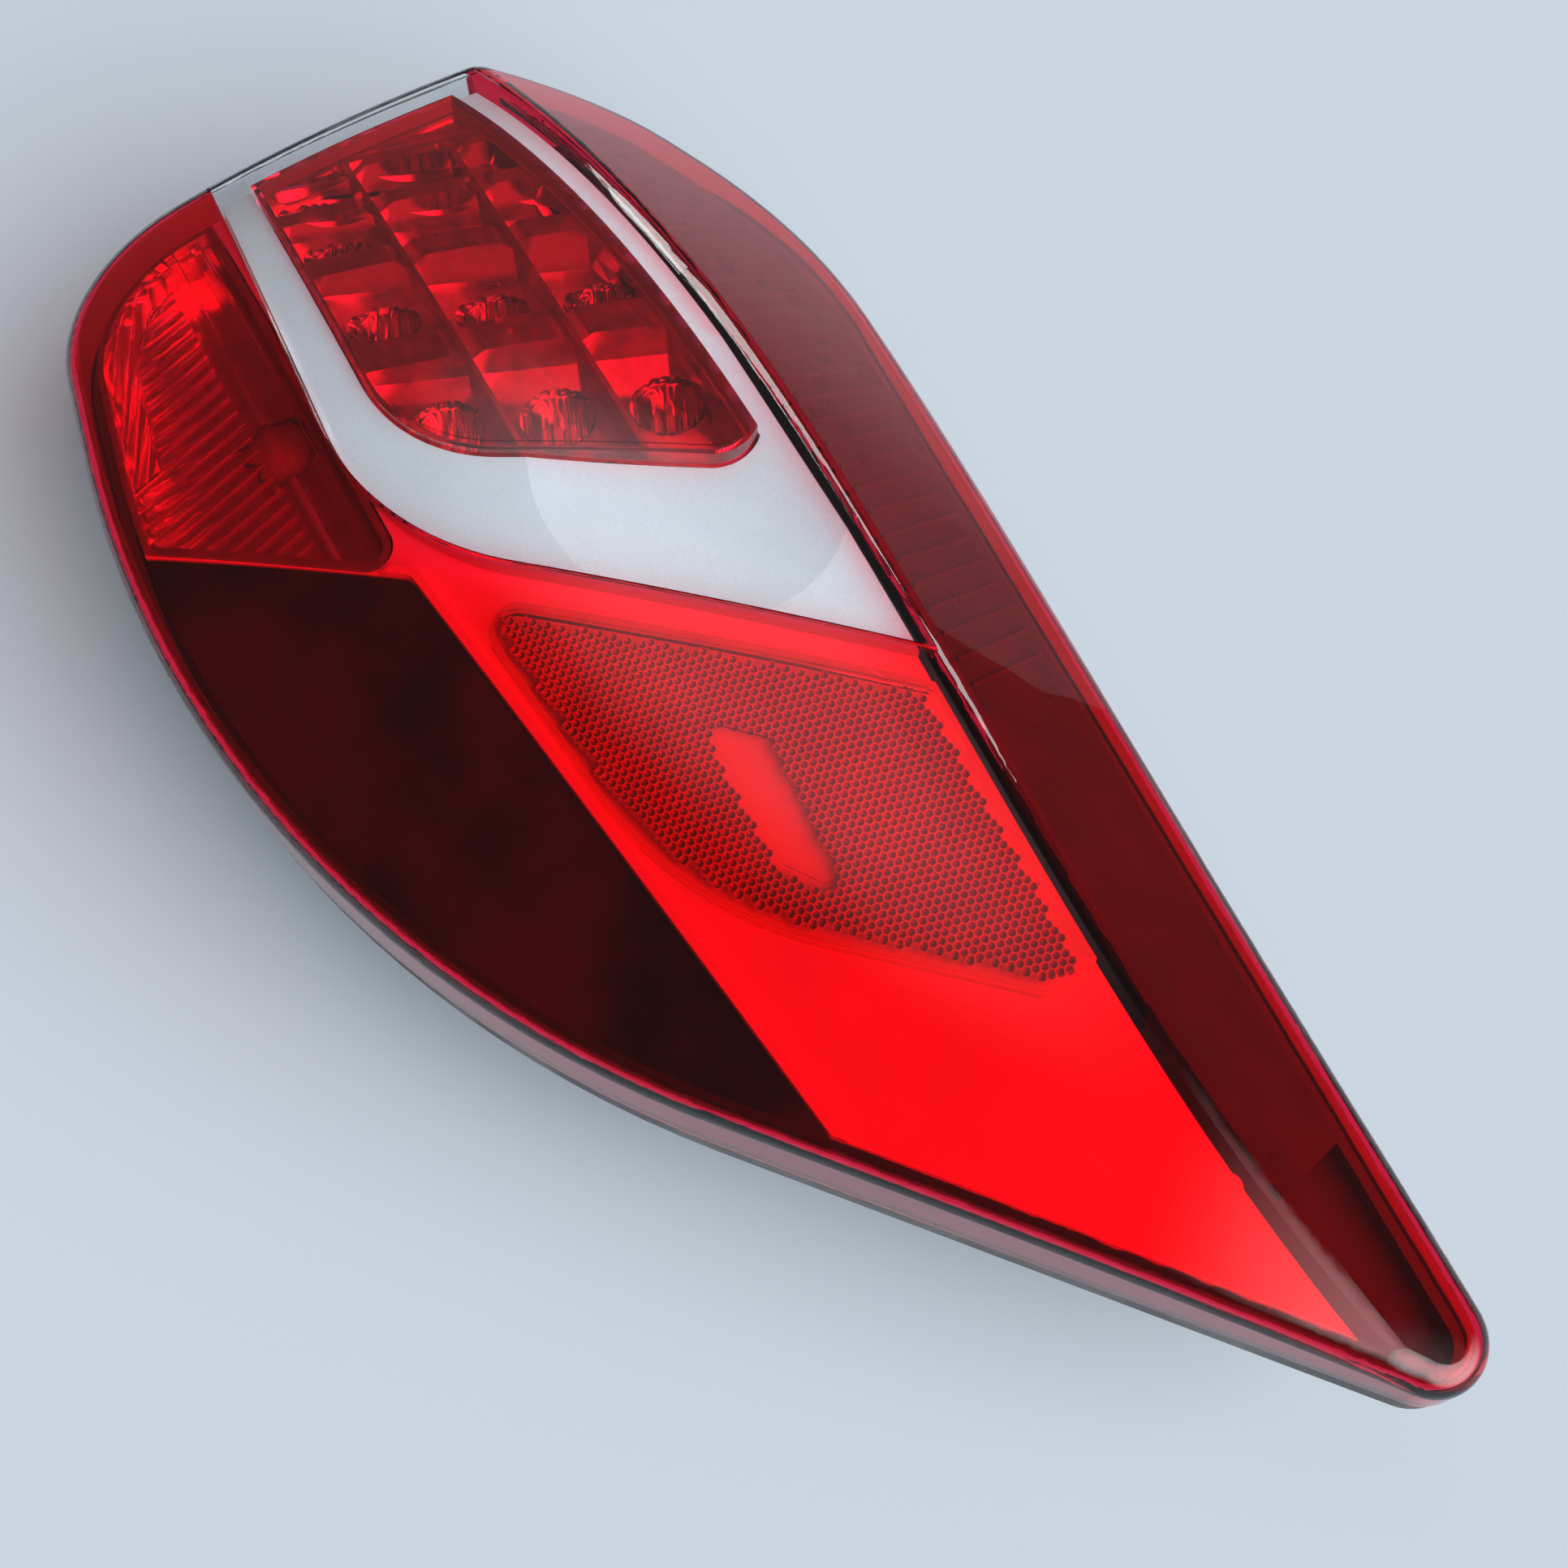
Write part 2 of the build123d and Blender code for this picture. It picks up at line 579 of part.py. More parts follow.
led_reflector = Part()
boards = []
for row in range(LED_ROWS):
    led_reflector += row_plate(row, row_strip(row, 0) & window_face(0), -TERRACE_THICKNESS, 0)
    board_face = row_strip(row, BOARD_GAP) & window_face(BOARD_INSET)
    boards.append(row_plate(row, board_face, -TERRACE_THICKNESS - BOARD_THICKNESS, -TERRACE_THICKNESS))
notches = []
for row in range(LED_ROWS):
    half = LAND_WIDTHS[row] / 2
    land_face = led_strip(LAND_PLACES[row] - half, LAND_PLACES[row] + half) & window_face(0)
    foot_row = min(row + 1, LED_ROWS - 1)
    led_reflector += prism(land_face, terrace_z(foot_row) - LAND_ROOT, SKY_Z)
    for column in range(LED_COLUMNS - 1):
        point = led_point(LAND_PLACES[row], column + 0.5)
        top_z = roof_z(point.X, point.Y, LAND_DEPTH)
        notch = Box(2 * LAND_WIDTHS[row], 3 * LAND_BEVEL * sqrt(2), 3 * LAND_BEVEL * sqrt(2))
        notch_place = Pos(point.X, point.Y, top_z + 2 * LAND_BEVEL) * Rot(0, 0, column_angle)
        notches.append(notch_place * Rot(45, 0, 0) * notch)
led_reflector = under_roof(led_reflector - notches, LAND_DEPTH)

# The reflector's head end follows the lens and carries ribs along the rows
head_face = led_strip(LAND_PLACES[-1], REACH) & window_face(0)
led_reflector += layer(head_face, LAND_DEPTH, LAND_DEPTH + TERRACE_THICKNESS)
head_end = max(led_place(corner.X, corner.Y) for corner in window_face(WINDOW_WALL).vertices())
head_ribs = int((head_end - LAND_PLACES[-1]) / HEAD_RIB_PITCH)
for n in range(head_ribs):
    start = LAND_PLACES[-1] + HEAD_RIB_PITCH * n
    rib_face = led_strip(start, start + HEAD_RIB_WIDTH) & window_face(WINDOW_WALL)
    led_reflector += layer(rib_face, LAND_DEPTH - HEAD_RIB_HEIGHT, LAND_DEPTH + HEAD_RIB_HEIGHT)

wall_foot = terrace_z(LED_ROWS - 1) - TERRACE_THICKNESS
led_reflector += under_roof(prism(window_face(0) - window_face(WINDOW_WALL), wall_foot, SKY_Z), PANEL_DEPTH)

cups = []
optics = []
chips = []
board_screws = []
screw_holes = []
pitch = 2 * (CUP_LENGTH + CUP_SEAT) / OPTIC_FLUTES
flute_radius = (pitch ** 2 / 4 + OPTIC_FLUTE_RISE ** 2) / (2 * OPTIC_FLUTE_RISE)
for row in range(LED_ROWS):
    width = CUP_WIDTHS[row]
    seat = Ellipse(CUP_LENGTH + CUP_SEAT, width + CUP_SEAT)
    flare = Ellipse(CUP_LENGTH + CUP_SEAT + CUP_FLARE, width + CUP_SEAT + CUP_FLARE)
    rim = Ellipse(CUP_LENGTH + CUP_SEAT - OPTIC_CLEARANCE, width + CUP_SEAT - OPTIC_CLEARANCE)
    cup = loft([seat, Pos(0, 0, CUP_FLARE_HEIGHT) * flare]) + prism(seat, -CUP_SEAT_DEPTH, 0)
    mouth = Pos(0, 0, -CUP_SEAT_DEPTH) * Ellipse(CUP_LENGTH, width)
    cup += loft([mouth, Pos(0, 0, -TERRACE_THICKNESS) * Circle(CUP_EXIT_RADIUS)])
    optic = prism(rim, -CUP_SEAT_DEPTH, 0)
    top = prism(rim, 0, OPTIC_FLUTE_RISE)
    for n in range(OPTIC_FLUTES):
        x = (n - (OPTIC_FLUTES - 1) / 2) * pitch
        flute = Pos(x, 0, OPTIC_FLUTE_RISE - flute_radius) * Rot(90, 0, 0) * Cylinder(flute_radius, REACH)
        optic += top & flute
    chip = Pos(0, 0, -TERRACE_THICKNESS) * Box(
        CHIP_SIZE, CHIP_SIZE, CHIP_HEIGHT, align=(Align.CENTER, Align.CENTER, Align.MIN))
    under = -TERRACE_THICKNESS - BOARD_THICKNESS
    tip = BOARD_SCREW_LENGTH - TERRACE_THICKNESS
    screw = disc(0, 0, SCREW_RADIUS, under, tip)
    screw += disc(0, 0, SCREW_HEAD_RADIUS, under - SCREW_HEAD_HEIGHT, under)
    screw_hole = disc(0, 0, SCREW_RADIUS + SCREW_CLEARANCE, under - CUT, tip + SCREW_TIP_GAP)
    for column in range(LED_COLUMNS):
        place = terrace(row) * Pos((column - middle) * LED_ROW_STEP.length, 0, 0)
        cups.append(place * cup)
        optics.append(place * optic)
        chips.append(place * chip)
    for column in range(LED_COLUMNS - 1):
        place = terrace(row) * Pos((column + 0.5 - middle) * LED_ROW_STEP.length, BOARD_SCREW_OFFSET, 0)
        board_screws.append(place * screw)
        screw_holes.append(place * screw_hole)

led_reflector -= cups
for column in range(LED_COLUMNS - 1):
    for row in range(LED_ROWS):
        base = led_point(LED_ROW_PLACES[row], column + 0.5)
        strip = Pos(base.X, base.Y) * Rot(0, 0, column_angle) * Rectangle(2 * REACH, DIVIDER_THICKNESS)
        divider_face = strip & window_face(WINDOW_WALL / 2) & row_strip(row, 0)
        divider = prism(divider_face, RIM_Z, SKY_Z) - terrace(row) * Pos(0, 0, -REACH - CUT) * Box(
            2 * REACH, 2 * REACH, 2 * REACH)
        led_reflector += under_roof(divider, LAND_DEPTH)
board_holes = []
for x, y in LED_POSTS:
    row = len([place for place in LAND_PLACES[:-1] if place < led_place(x, y)])
    above = terrace(row) * Pos(0, 0, REACH - TERRACE_THICKNESS + CUT) * Box(2 * REACH, 2 * REACH, 2 * REACH)
    led_reflector += post(x, y, POST_RADIUS, FLOOR_Z) - above
    board_holes.append(disc(x, y, POST_RADIUS + BOARD_GAP, FLOOR_Z, SKY_Z))
led_reflector -= screw_holes
led_boards = Part() + boards - screw_holes - board_holes
led_chips = Part() + chips
led_optics = Part() + optics
led_board_screws = Part() + board_screws

# Turn signal: a fluted inner lens that rests on a ledge in a bright tub
plane_points = [Vector(x, y, roof_z(x, y, TURN_LENS_DEPTH)) for x, y in TURN_PLANE_POINTS]
along = plane_points[2] - plane_points[0]
across = plane_points[1] - plane_points[0]
turn_plane = Plane(origin=plane_points[1], x_dir=along, z_dir=across.cross(along))


def turn_slab(low, high):
    """Space between two heights over the inner lens's plane."""
    return turn_plane * Pos(0, 0, (low + high) / 2) * Box(2 * REACH, 2 * REACH, high - low)


def turn_prism(face):
    return prism(face, BACK_Z, SKY_Z)


def turn_flutes(face, pitch, turn):
    """Rounded flutes on the inner lens over a plan face."""
    rise = FLUTE_RISE - FLUTE_VALLEY
    radius = (pitch ** 2 / 4 + rise ** 2) / (2 * rise)
    count = int(REACH / pitch)
    rolls = []
    for n in range(count):
        x = (n - count / 2) * pitch
        roll = Pos(x, 0, FLUTE_RISE - radius) * Rot(90, 0, 0) * Cylinder(radius, REACH)
        rolls.append(turn_plane * Rot(0, 0, turn) * roll)
    return turn_prism(face) & turn_slab(-TURN_LENS_THICKNESS / 2, FLUTE_RISE) & (Part() + rolls)


def beside_bezel(near, far):
    """Plan strip along the tub's side by the bezel, between two distances from it."""
    (ax, ay), (bx, by) = TURN_CORNERS[1], TURN_CORNERS[2]
    side = Vector(bx - ax, by - ay).normalized()
    middle_point = Vector(ax + bx, ay + by) / 2 + Vector(-side.Y, side.X) * (near + far) / 2
    angle = side.get_signed_angle(Vector(1, 0))
    return Pos(middle_point.X, middle_point.Y) * Rot(0, 0, angle) * Rectangle(2 * REACH, far - near)


seat_face = turn_face(TURN_WALL + TURN_LENS_GAP)


def edge_strip(margin):
    """Plan strip along the tub's outer edge, widened by a margin."""
    strip = seat_face - turn_face(TURN_WALL + TURN_LENS_GAP + EDGE_FLUTE_WIDTH + margin)
    return strip & Pos(EDGE_FLUTE_END_X + margin - REACH / 2, 0) * Rectangle(REACH, 2 * REACH)


plain_strip = beside_bezel(-REACH, FLUTE_SIDE_MARGIN)
turn_inner_lens = turn_prism(seat_face) & turn_slab(-TURN_LENS_THICKNESS, 0)
turn_inner_lens += turn_flutes(seat_face - edge_strip(EDGE_GROOVE) - plain_strip, FLUTE_PITCH, 0)
turn_inner_lens += turn_flutes(edge_strip(0) - plain_strip, EDGE_FLUTE_PITCH, EDGE_FLUTE_TURN)
for distance in BAR_DISTANCES:
    bar_face = seat_face & beside_bezel(distance, distance + BAR_WIDTH)
    turn_inner_lens += turn_prism(bar_face) & turn_slab(-TURN_LENS_THICKNESS / 2, BAR_HEIGHT)
tub_top = -TURN_LENS_THICKNESS - TUB_DEPTH
tub_bottom = tub_top - TUB_FLOOR_THICKNESS
turn_signal_reflector = turn_prism(turn_face(0)) & turn_slab(tub_bottom, tub_top)
ledge_face = turn_face(0) - turn_face(TURN_WALL + TURN_LEDGE)
turn_signal_reflector += turn_prism(ledge_face) & turn_slab(tub_bottom, -TURN_LENS_THICKNESS)
turn_walls = turn_prism(turn_face(0) - turn_face(TURN_WALL)) & turn_slab(tub_bottom, REACH)
turn_signal_reflector += under_roof(turn_walls, PANEL_DEPTH)
turn_signal_reflector -= disc(BULB_X, BULB_Y, BULB_RADIUS + BULB_CLEARANCE, BACK_Z, SKY_Z) & turn_slab(
    tub_bottom - CUT, tub_top + CUT)
for x, y in TURN_POSTS:
    turn_signal_reflector += post(x, y, POST_RADIUS, FLOOR_Z) - turn_slab(tub_bottom + CUT, REACH)

# Bulb, its base, its holder and the holder's seal
bulb_z = BACK_Z + BULB_BASE_SEAT
neck_z = bulb_z + BULB_BASE_LENGTH
normal = turn_plane.z_dir
gap = Vector(BULB_X, BULB_Y) - turn_plane.origin
lens_z = turn_plane.origin.Z - (normal.X * gap.X + normal.Y * gap.Y) / normal.Z
bulb_top = lens_z - TURN_LENS_THICKNESS - BULB_HEADROOM
turn_signal_bulb = disc(BULB_X, BULB_Y, BULB_NECK_RADIUS, neck_z, neck_z + BULB_RADIUS)
turn_signal_bulb += disc(BULB_X, BULB_Y, BULB_RADIUS, neck_z + BULB_RADIUS / 2, bulb_top - BULB_RADIUS)
turn_signal_bulb += Pos(BULB_X, BULB_Y, bulb_top - BULB_RADIUS) * Sphere(BULB_RADIUS)
turn_bulb_base = disc(BULB_X, BULB_Y, BULB_BASE_RADIUS, bulb_z, neck_z)
holder_z = BACK_Z - HOLDER_SEAL_THICKNESS
flange_z = holder_z - HOLDER_FLANGE_THICKNESS
turn_bulb_holder = disc(BULB_X, BULB_Y, HOLDER_RADIUS, holder_z, BACK_Z + HOLDER_INNER_LENGTH)
turn_bulb_holder += disc(BULB_X, BULB_Y, HOLDER_FLANGE_RADIUS, flange_z, holder_z)
turn_bulb_holder += disc(BULB_X, BULB_Y, HOLDER_GRIP_RADIUS, flange_z - HOLDER_GRIP_LENGTH, flange_z)
for n in range(HOLDER_WINGS):
    wing = Box(2 * HOLDER_RADIUS, HOLDER_WING_THICKNESS, HOLDER_GRIP_LENGTH)
    wing_place = Pos(BULB_X, BULB_Y, flange_z - HOLDER_GRIP_LENGTH / 2) * Rot(0, 0, 180 * n / HOLDER_WINGS)
    turn_bulb_holder += wing_place * wing
turn_bulb_holder -= disc(BULB_X, BULB_Y, BULB_BASE_RADIUS, bulb_z, SKY_Z)
bulb_hole = disc(BULB_X, BULB_Y, HOLDER_RADIUS + HOLDER_CLEARANCE, BACK_Z - CUT, FLOOR_Z + CUT)
holder_seal = disc(BULB_X, BULB_Y, HOLDER_FLANGE_RADIUS, holder_z, BACK_Z)
holder_seal -= disc(BULB_X, BULB_Y, HOLDER_RADIUS + HOLDER_CLEARANCE, holder_z, BACK_Z)
housing -= bulb_hole

# Ribbed strip under the inclined band
side_face = outline(PANEL_INSET) - main_side(-SIDE_CREASE_MARGIN)
side_face &= Pos(SIDE_END_X - REACH, 0) * Rectangle(2 * REACH, 2 * REACH)
side_reflector = under_band(prism(side_face, TRAY_Z, SKY_Z), SIDE_DEPTH)
side_reflector = over_band(side_reflector, SIDE_DEPTH + SIDE_THICKNESS)
ribs = []
rib_step = (SIDE_RIB_LAST - SIDE_RIB_FIRST) / (SIDE_RIB_COUNT - 1)
for n in range(SIDE_RIB_COUNT):
    t = SIDE_RIB_FIRST + rib_step * n
    foot = curve_point(band_foot(SIDE_DEPTH), t)
    top = curve_point(band_top(SIDE_DEPTH), t)
    ahead = curve_point(band_foot(SIDE_DEPTH), t - rib_step)
    rib_plane = Plane(origin=foot, x_dir=ahead - foot, z_dir=top - foot)
    profile = [(-SIDE_RIB_WIDTH / 2, -CUT), (SIDE_RIB_WIDTH / 2, -CUT), (0, SIDE_RIB_HEIGHT)]
    ribs.append(extrude(rib_plane * make_face(Polyline(*profile, close=True)), REACH / 2, both=True))
rib_face = outline(PANEL_INSET + SIDE_RIB_INSET) - main_side(-SIDE_CREASE_MARGIN - SIDE_RIB_INSET)
side_reflector += prism(rib_face, TRAY_Z, SKY_Z) & (Part() + ribs)
post_line = corner_points(OUTLINE_CORNERS, SIDE_POST_INSET)
for share in SIDE_POST_SHARES:
    p = post_line[0] + (post_line[1] - post_line[0]) * share
    support = post(p.X, p.Y, SIDE_POST_RADIUS, TRAY_FLOOR_Z)
    side_reflector += under_band(support, SIDE_DEPTH + SIDE_THICKNESS / 2)

# Screws that hold the panels, through the housing into their posts
reflector_screws = []
screw_bores = []
for (x, y), floor in [(p, BACK_Z) for p in TAIL_POSTS + DARK_POSTS] + [(TIP_POST, TRAY_Z)]:
    shank = disc(x, y, SCREW_RADIUS, floor, floor + SCREW_LENGTH)
    reflector_screws.append(shank + disc(x, y, SCREW_HEAD_RADIUS, floor - SCREW_HEAD_HEIGHT, floor))
    bore_top = floor + SCREW_LENGTH + SCREW_TIP_GAP
    screw_bores.append(disc(x, y, SCREW_RADIUS + SCREW_CLEARANCE, floor - CUT, bore_top))
housing -= screw_bores
tail_reflector -= screw_bores
dark_inner_bezel -= screw_bores
reflector_screws = Part() + reflector_screws

# Studs, connector and vent on the back
studs = []
for x, y in STUD_POINTS:
    stud = disc(x, y, STUD_RADIUS, 0, BACK_Z)
    stud = chamfer(stud.edges().sort_by(Axis.Z)[0], STUD_CHAMFER)
    studs.append(stud + disc(x, y, STUD_FLANGE_RADIUS, BACK_Z - STUD_FLANGE_THICKNESS, BACK_Z))
mounting_studs = Part() + studs
connector_place = Pos(CONNECTOR_X, CONNECTOR_Y, BACK_Z)
TOP = (Align.CENTER, Align.CENTER, Align.MAX)
connector_shroud = connector_place * Box(CONNECTOR_LENGTH, CONNECTOR_WIDTH, CONNECTOR_HEIGHT, align=TOP)
socket = Box(CONNECTOR_LENGTH - 2 * CONNECTOR_WALL, CONNECTOR_WIDTH - 2 * CONNECTOR_WALL,
             CONNECTOR_HEIGHT - CONNECTOR_WALL, align=TOP)
latch = Box(LATCH_LENGTH, CONNECTOR_WIDTH + 2 * LATCH_REACH, LATCH_LENGTH, align=TOP)
connector_shroud += connector_place * Pos(0, 0, -CONNECTOR_WALL) * latch
connector_shroud -= connector_place * Pos(0, 0, -CONNECTOR_WALL) * socket
pins = []
for n in range(PIN_COUNT):
    x = (n - (PIN_COUNT - 1) / 2) * PIN_PITCH
    pins.append(connector_place * Pos(x, 0, 0) * Box(PIN_WIDTH, PIN_WIDTH, PIN_LENGTH))
connector_pins = Part() + pins
connector_shroud -= connector_pins
housing -= connector_pins
vent_cap = disc(VENT_X, VENT_Y, VENT_RADIUS, BACK_Z - VENT_HEIGHT, BACK_Z)
housing -= disc(VENT_X, VENT_Y, VENT_HOLE_RADIUS, BACK_Z - CUT, FLOOR_Z + CUT)

nodes = {
    "rear_housing": housing,
    "red_outer_lens": red_outer_lens,
    "clear_lens_insert": clear_lens_insert,
    "lens_seal": lens_seal,
    "silver_bezel": silver_bezel,
    "led_inner_lens": led_inner_lens,
    "led_reflector": led_reflector,
    "led_optics": led_optics,
    "led_boards": led_boards,
    "led_chips": led_chips,
    "led_board_screws": led_board_screws,
    "reflex_reflector": reflex_reflector,
    "tail_reflector": tail_reflector,
    "dark_inner_bezel": dark_inner_bezel,
    "turn_signal_reflector": turn_signal_reflector,
    "turn_inner_lens": turn_inner_lens,
    "turn_signal_bulb": turn_signal_bulb,
    "turn_bulb_base": turn_bulb_base,
    "turn_bulb_holder": turn_bulb_holder,
    "bulb_holder_seal": holder_seal,
    "side_reflector": side_reflector,
    "reflector_screws": reflector_screws,
    "foam_gasket": foam_gasket,
    "mounting_studs": mounting_studs,
    "connector_shroud": connector_shroud,
    "connector_pins": connector_pins,
    "vent_cap": vent_cap,
}

# The origin lies under the middle of the lens outline
box = outline(0).bounding_box()
centre = Location((-(box.min.X + box.max.X) / 2, -(box.min.Y + box.max.Y) / 2, 0))
os.makedirs("parts", exist_ok=True)
for name, shape in nodes.items():
    print(name, len(shape.solids()), shape.is_valid, round(shape.volume))
    export_step(shape.moved(centre), f"parts/{name}.step")
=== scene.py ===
# %% [markdown]
# A car's tail light cluster lies on its three studs with the lens up. Its solids come packed, in their
# real places, so this lesson only dresses them: it sets up a small studio, gives each piece the finish
# it has on the real lamp, and models the fine moulded detail that the solids leave out.

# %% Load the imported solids
import math
import bpy
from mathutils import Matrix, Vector


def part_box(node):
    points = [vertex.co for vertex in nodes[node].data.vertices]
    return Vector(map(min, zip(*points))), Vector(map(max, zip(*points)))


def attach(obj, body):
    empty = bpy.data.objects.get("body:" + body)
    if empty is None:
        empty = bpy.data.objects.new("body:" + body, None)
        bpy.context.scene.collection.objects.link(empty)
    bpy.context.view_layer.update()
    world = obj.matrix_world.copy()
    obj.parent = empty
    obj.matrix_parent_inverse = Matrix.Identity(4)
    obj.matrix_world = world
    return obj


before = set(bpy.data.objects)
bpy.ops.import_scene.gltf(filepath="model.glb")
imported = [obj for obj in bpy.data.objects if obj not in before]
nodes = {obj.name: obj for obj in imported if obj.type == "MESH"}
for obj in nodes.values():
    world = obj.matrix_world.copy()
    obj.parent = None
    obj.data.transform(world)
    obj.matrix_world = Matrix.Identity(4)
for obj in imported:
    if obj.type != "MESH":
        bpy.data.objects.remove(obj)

MM = 0.001
scene = bpy.context.scene
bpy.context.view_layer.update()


# %% [markdown]
# The photograph looks down on the lamp from its long side, turned so that the tip points to the lower
# right. A camera could be posed by eye, but its angles, distance and focal length are known here, so
# it is placed by them: the view direction comes from an azimuth and an elevation.

# %% Camera
SENSOR_WIDTH = 36.0
PHOTO_WIDTH_PIXELS = 1932
FOCAL_PIXELS = 2600
VIEW_AZIMUTH = math.radians(47)
VIEW_ELEVATION = math.radians(66)
VIEW_DISTANCE = 520 * MM
VIEW_TARGET = Vector((21.3, -14.8, 94)) * MM

towards_camera = Vector((
    math.sin(VIEW_AZIMUTH) * math.cos(VIEW_ELEVATION),
    -math.cos(VIEW_AZIMUTH) * math.cos(VIEW_ELEVATION),
    math.sin(VIEW_ELEVATION)))
bpy.ops.object.select_all(action="DESELECT")
bpy.ops.object.camera_add(location=VIEW_TARGET + towards_camera * VIEW_DISTANCE)
camera = bpy.context.object
camera.name = "photo_camera"
camera.rotation_euler = towards_camera.to_track_quat("Z", "Y").to_euler()
camera.data.sensor_fit = "HORIZONTAL"
camera.data.sensor_width = SENSOR_WIDTH
camera.data.lens = SENSOR_WIDTH * FOCAL_PIXELS / PHOTO_WIDTH_PIXELS
scene.camera = camera
scene.view_settings.view_transform = "Standard"
print("camera lens", round(camera.data.lens, 2), "mm at", [round(v, 3) for v in camera.location])

# %% [markdown]
# A glossy lens shows its surroundings, so the main light is placed where the lens doesn't mirror it to
# the camera. Seen from here the roof mirrors the sky over the lamp's head, so that part stays dim and
# the red keeps its depth. One broad soft light stands on the tip's side instead, a little behind the
# lamp, which leaves the floor along the belly in a soft shadow. A large area light could do this too,
# but a soft-edged patch in the world has no outline.

# %% Broad soft light
KEY_DIRECTION = Vector((0.82, 0.14, 0.55))
KEY_EDGE_START = math.cos(math.radians(44))
KEY_EDGE_END = math.cos(math.radians(14))
ROOM_COLOUR = (0.105, 0.11, 0.115)
KEY_COLOUR = (6.7, 6.8, 6.9)


def fade(tree, field, start, end):
    """Share that runs smoothly from 0 to 1 while a field runs from start to end."""
    ramp = tree.nodes.new("ShaderNodeMapRange")
    ramp.interpolation_type = "SMOOTHSTEP"
    ramp.inputs["From Min"].default_value = start
    ramp.inputs["From Max"].default_value = end
    tree.links.new(field, ramp.inputs["Value"])
    return ramp.outputs["Result"]


def blend(tree, share, first, second):
    """Colour mixed by a share from a first colour, plain or linked, and a plain second one."""
    mix = tree.nodes.new("ShaderNodeMix")
    mix.data_type = "RGBA"
    tree.links.new(share, mix.inputs["Factor"])
    if isinstance(first, tuple):
        mix.inputs["A"].default_value = (*first, 1)
    else:
        tree.links.new(first, mix.inputs["A"])
    mix.inputs["B"].default_value = (*second, 1)
    return mix.outputs["Result"]


world = bpy.data.worlds.new("studio")
scene.world = world
world.use_nodes = True
room = world.node_tree
toward = room.nodes.new("ShaderNodeTexCoord").outputs["Generated"]
alignment = room.nodes.new("ShaderNodeVectorMath")
alignment.operation = "DOT_PRODUCT"
alignment.inputs[1].default_value = KEY_DIRECTION.normalized()
room.links.new(toward, alignment.inputs[0])
key_share = fade(room, alignment.outputs["Value"], KEY_EDGE_START, KEY_EDGE_END)
room_light = blend(room, key_share, ROOM_COLOUR, KEY_COLOUR)
print("broad light in world", world.name, "from", [round(v, 2) for v in KEY_DIRECTION.normalized()])

# %% [markdown]
# A second, faint light is a strip overhead that the roof mirrors on purpose: it lays the thin veil over
# the diodes and the reflex plate that shows the lens to be glossy. An area light would show its corners
# there, so this is an oval patch of the world too. It is drawn by how far a direction leans sideways
# from the strip's middle, and its edge fades out.

# %% Faint strip overhead
STRIP_MIDDLE = (-0.22, 0.07)
STRIP_REACH = (0.42, 0.24)
STRIP_CORE = 0.35
STRIP_COLOUR = (0.95, 1.0, 1.08)


def distance(tree, place):
    """Distance of a place from the origin."""
    measure = tree.nodes.new("ShaderNodeVectorMath")
    measure.operation = "LENGTH"
    tree.links.new(place, measure.inputs[0])
    return measure.outputs["Value"]


strip_place = room.nodes.new("ShaderNodeMapping")
strip_place.inputs["Scale"].default_value = (1 / STRIP_REACH[0], 1 / STRIP_REACH[1], 0)
strip_place.inputs["Location"].default_value = (
    -STRIP_MIDDLE[0] / STRIP_REACH[0], -STRIP_MIDDLE[1] / STRIP_REACH[1], 0)
room.links.new(toward, strip_place.inputs["Vector"])
strip_share = fade(room, distance(room, strip_place.outputs["Vector"]), 1, STRIP_CORE)
sky = blend(room, strip_share, room_light, STRIP_COLOUR)
room.links.new(sky, room.nodes["Background"].inputs["Color"])
print("strip overhead around", STRIP_MIDDLE, "with a reach of", STRIP_REACH)

# %% [markdown]
# The crease along the lamp's straight side carries a bright line. It comes from a long light on that
# side, low enough that neither the roof nor the band mirrors it, only the rounded edge between them.
# It only draws that line: matt surfaces don't see it. It is aimed at the lamp by tracking its middle.

# %% Crease light
LAMP_MIDDLE = Vector((0, 0, 80)) * MM
CREASE_DIRECTION = Vector((-0.30, 0.76, 0.58))
CREASE_DISTANCE = 1.3
CREASE_LENGTH = 1.1
CREASE_WIDTH = 0.3
CREASE_WATTS = 8

bpy.ops.object.select_all(action="DESELECT")
bpy.ops.object.light_add(
    type="AREA", location=LAMP_MIDDLE + CREASE_DIRECTION.normalized() * CREASE_DISTANCE)
crease_light = bpy.context.object
crease_light.name = "crease_light"
crease_light.rotation_euler = CREASE_DIRECTION.to_track_quat("Z", "Y").to_euler()
crease_light.data.shape = "RECTANGLE"
crease_light.data.size = CREASE_LENGTH
crease_light.data.size_y = CREASE_WIDTH
crease_light.data.energy = CREASE_WATTS
crease_light.visible_diffuse = False
print(crease_light.name, CREASE_WATTS, "W from", [round(v, 2) for v in crease_light.location])

# %% [markdown]
# The floor is a plain pale sheet at the height of the stud ends. It catches the lamp's soft shadow.
# Its colour is the pale blue-grey behind the lamp in the photograph, and far outside the view its
# colour darkens, painted shade for the fall-off of a studio's light, so that the sloping band and the
# rim don't mirror a pale horizon. Its paint starts with the steps that every finish here starts with:
# a material with one Principled shader, and places to read patterns from. They are Object coordinates,
# because each solid keeps its place in its mesh and a pattern then stays put.

# %% Floor
FLOOR_SIZE = 12.0
FLOOR_COLOUR = (0.50, 0.56, 0.615)
# The far colour is painted shade for the fall-off of light.
FLOOR_PAINTED_SHADE_COLOUR = (0.25, 0.27, 0.29)
FLOOR_BRIGHT_RADIUS = 0.42
FLOOR_PAINTED_SHADE_RADIUS = 1.3
FLOOR_ROUGHNESS = 0.9
FLOOR_SPECULAR = 0.1


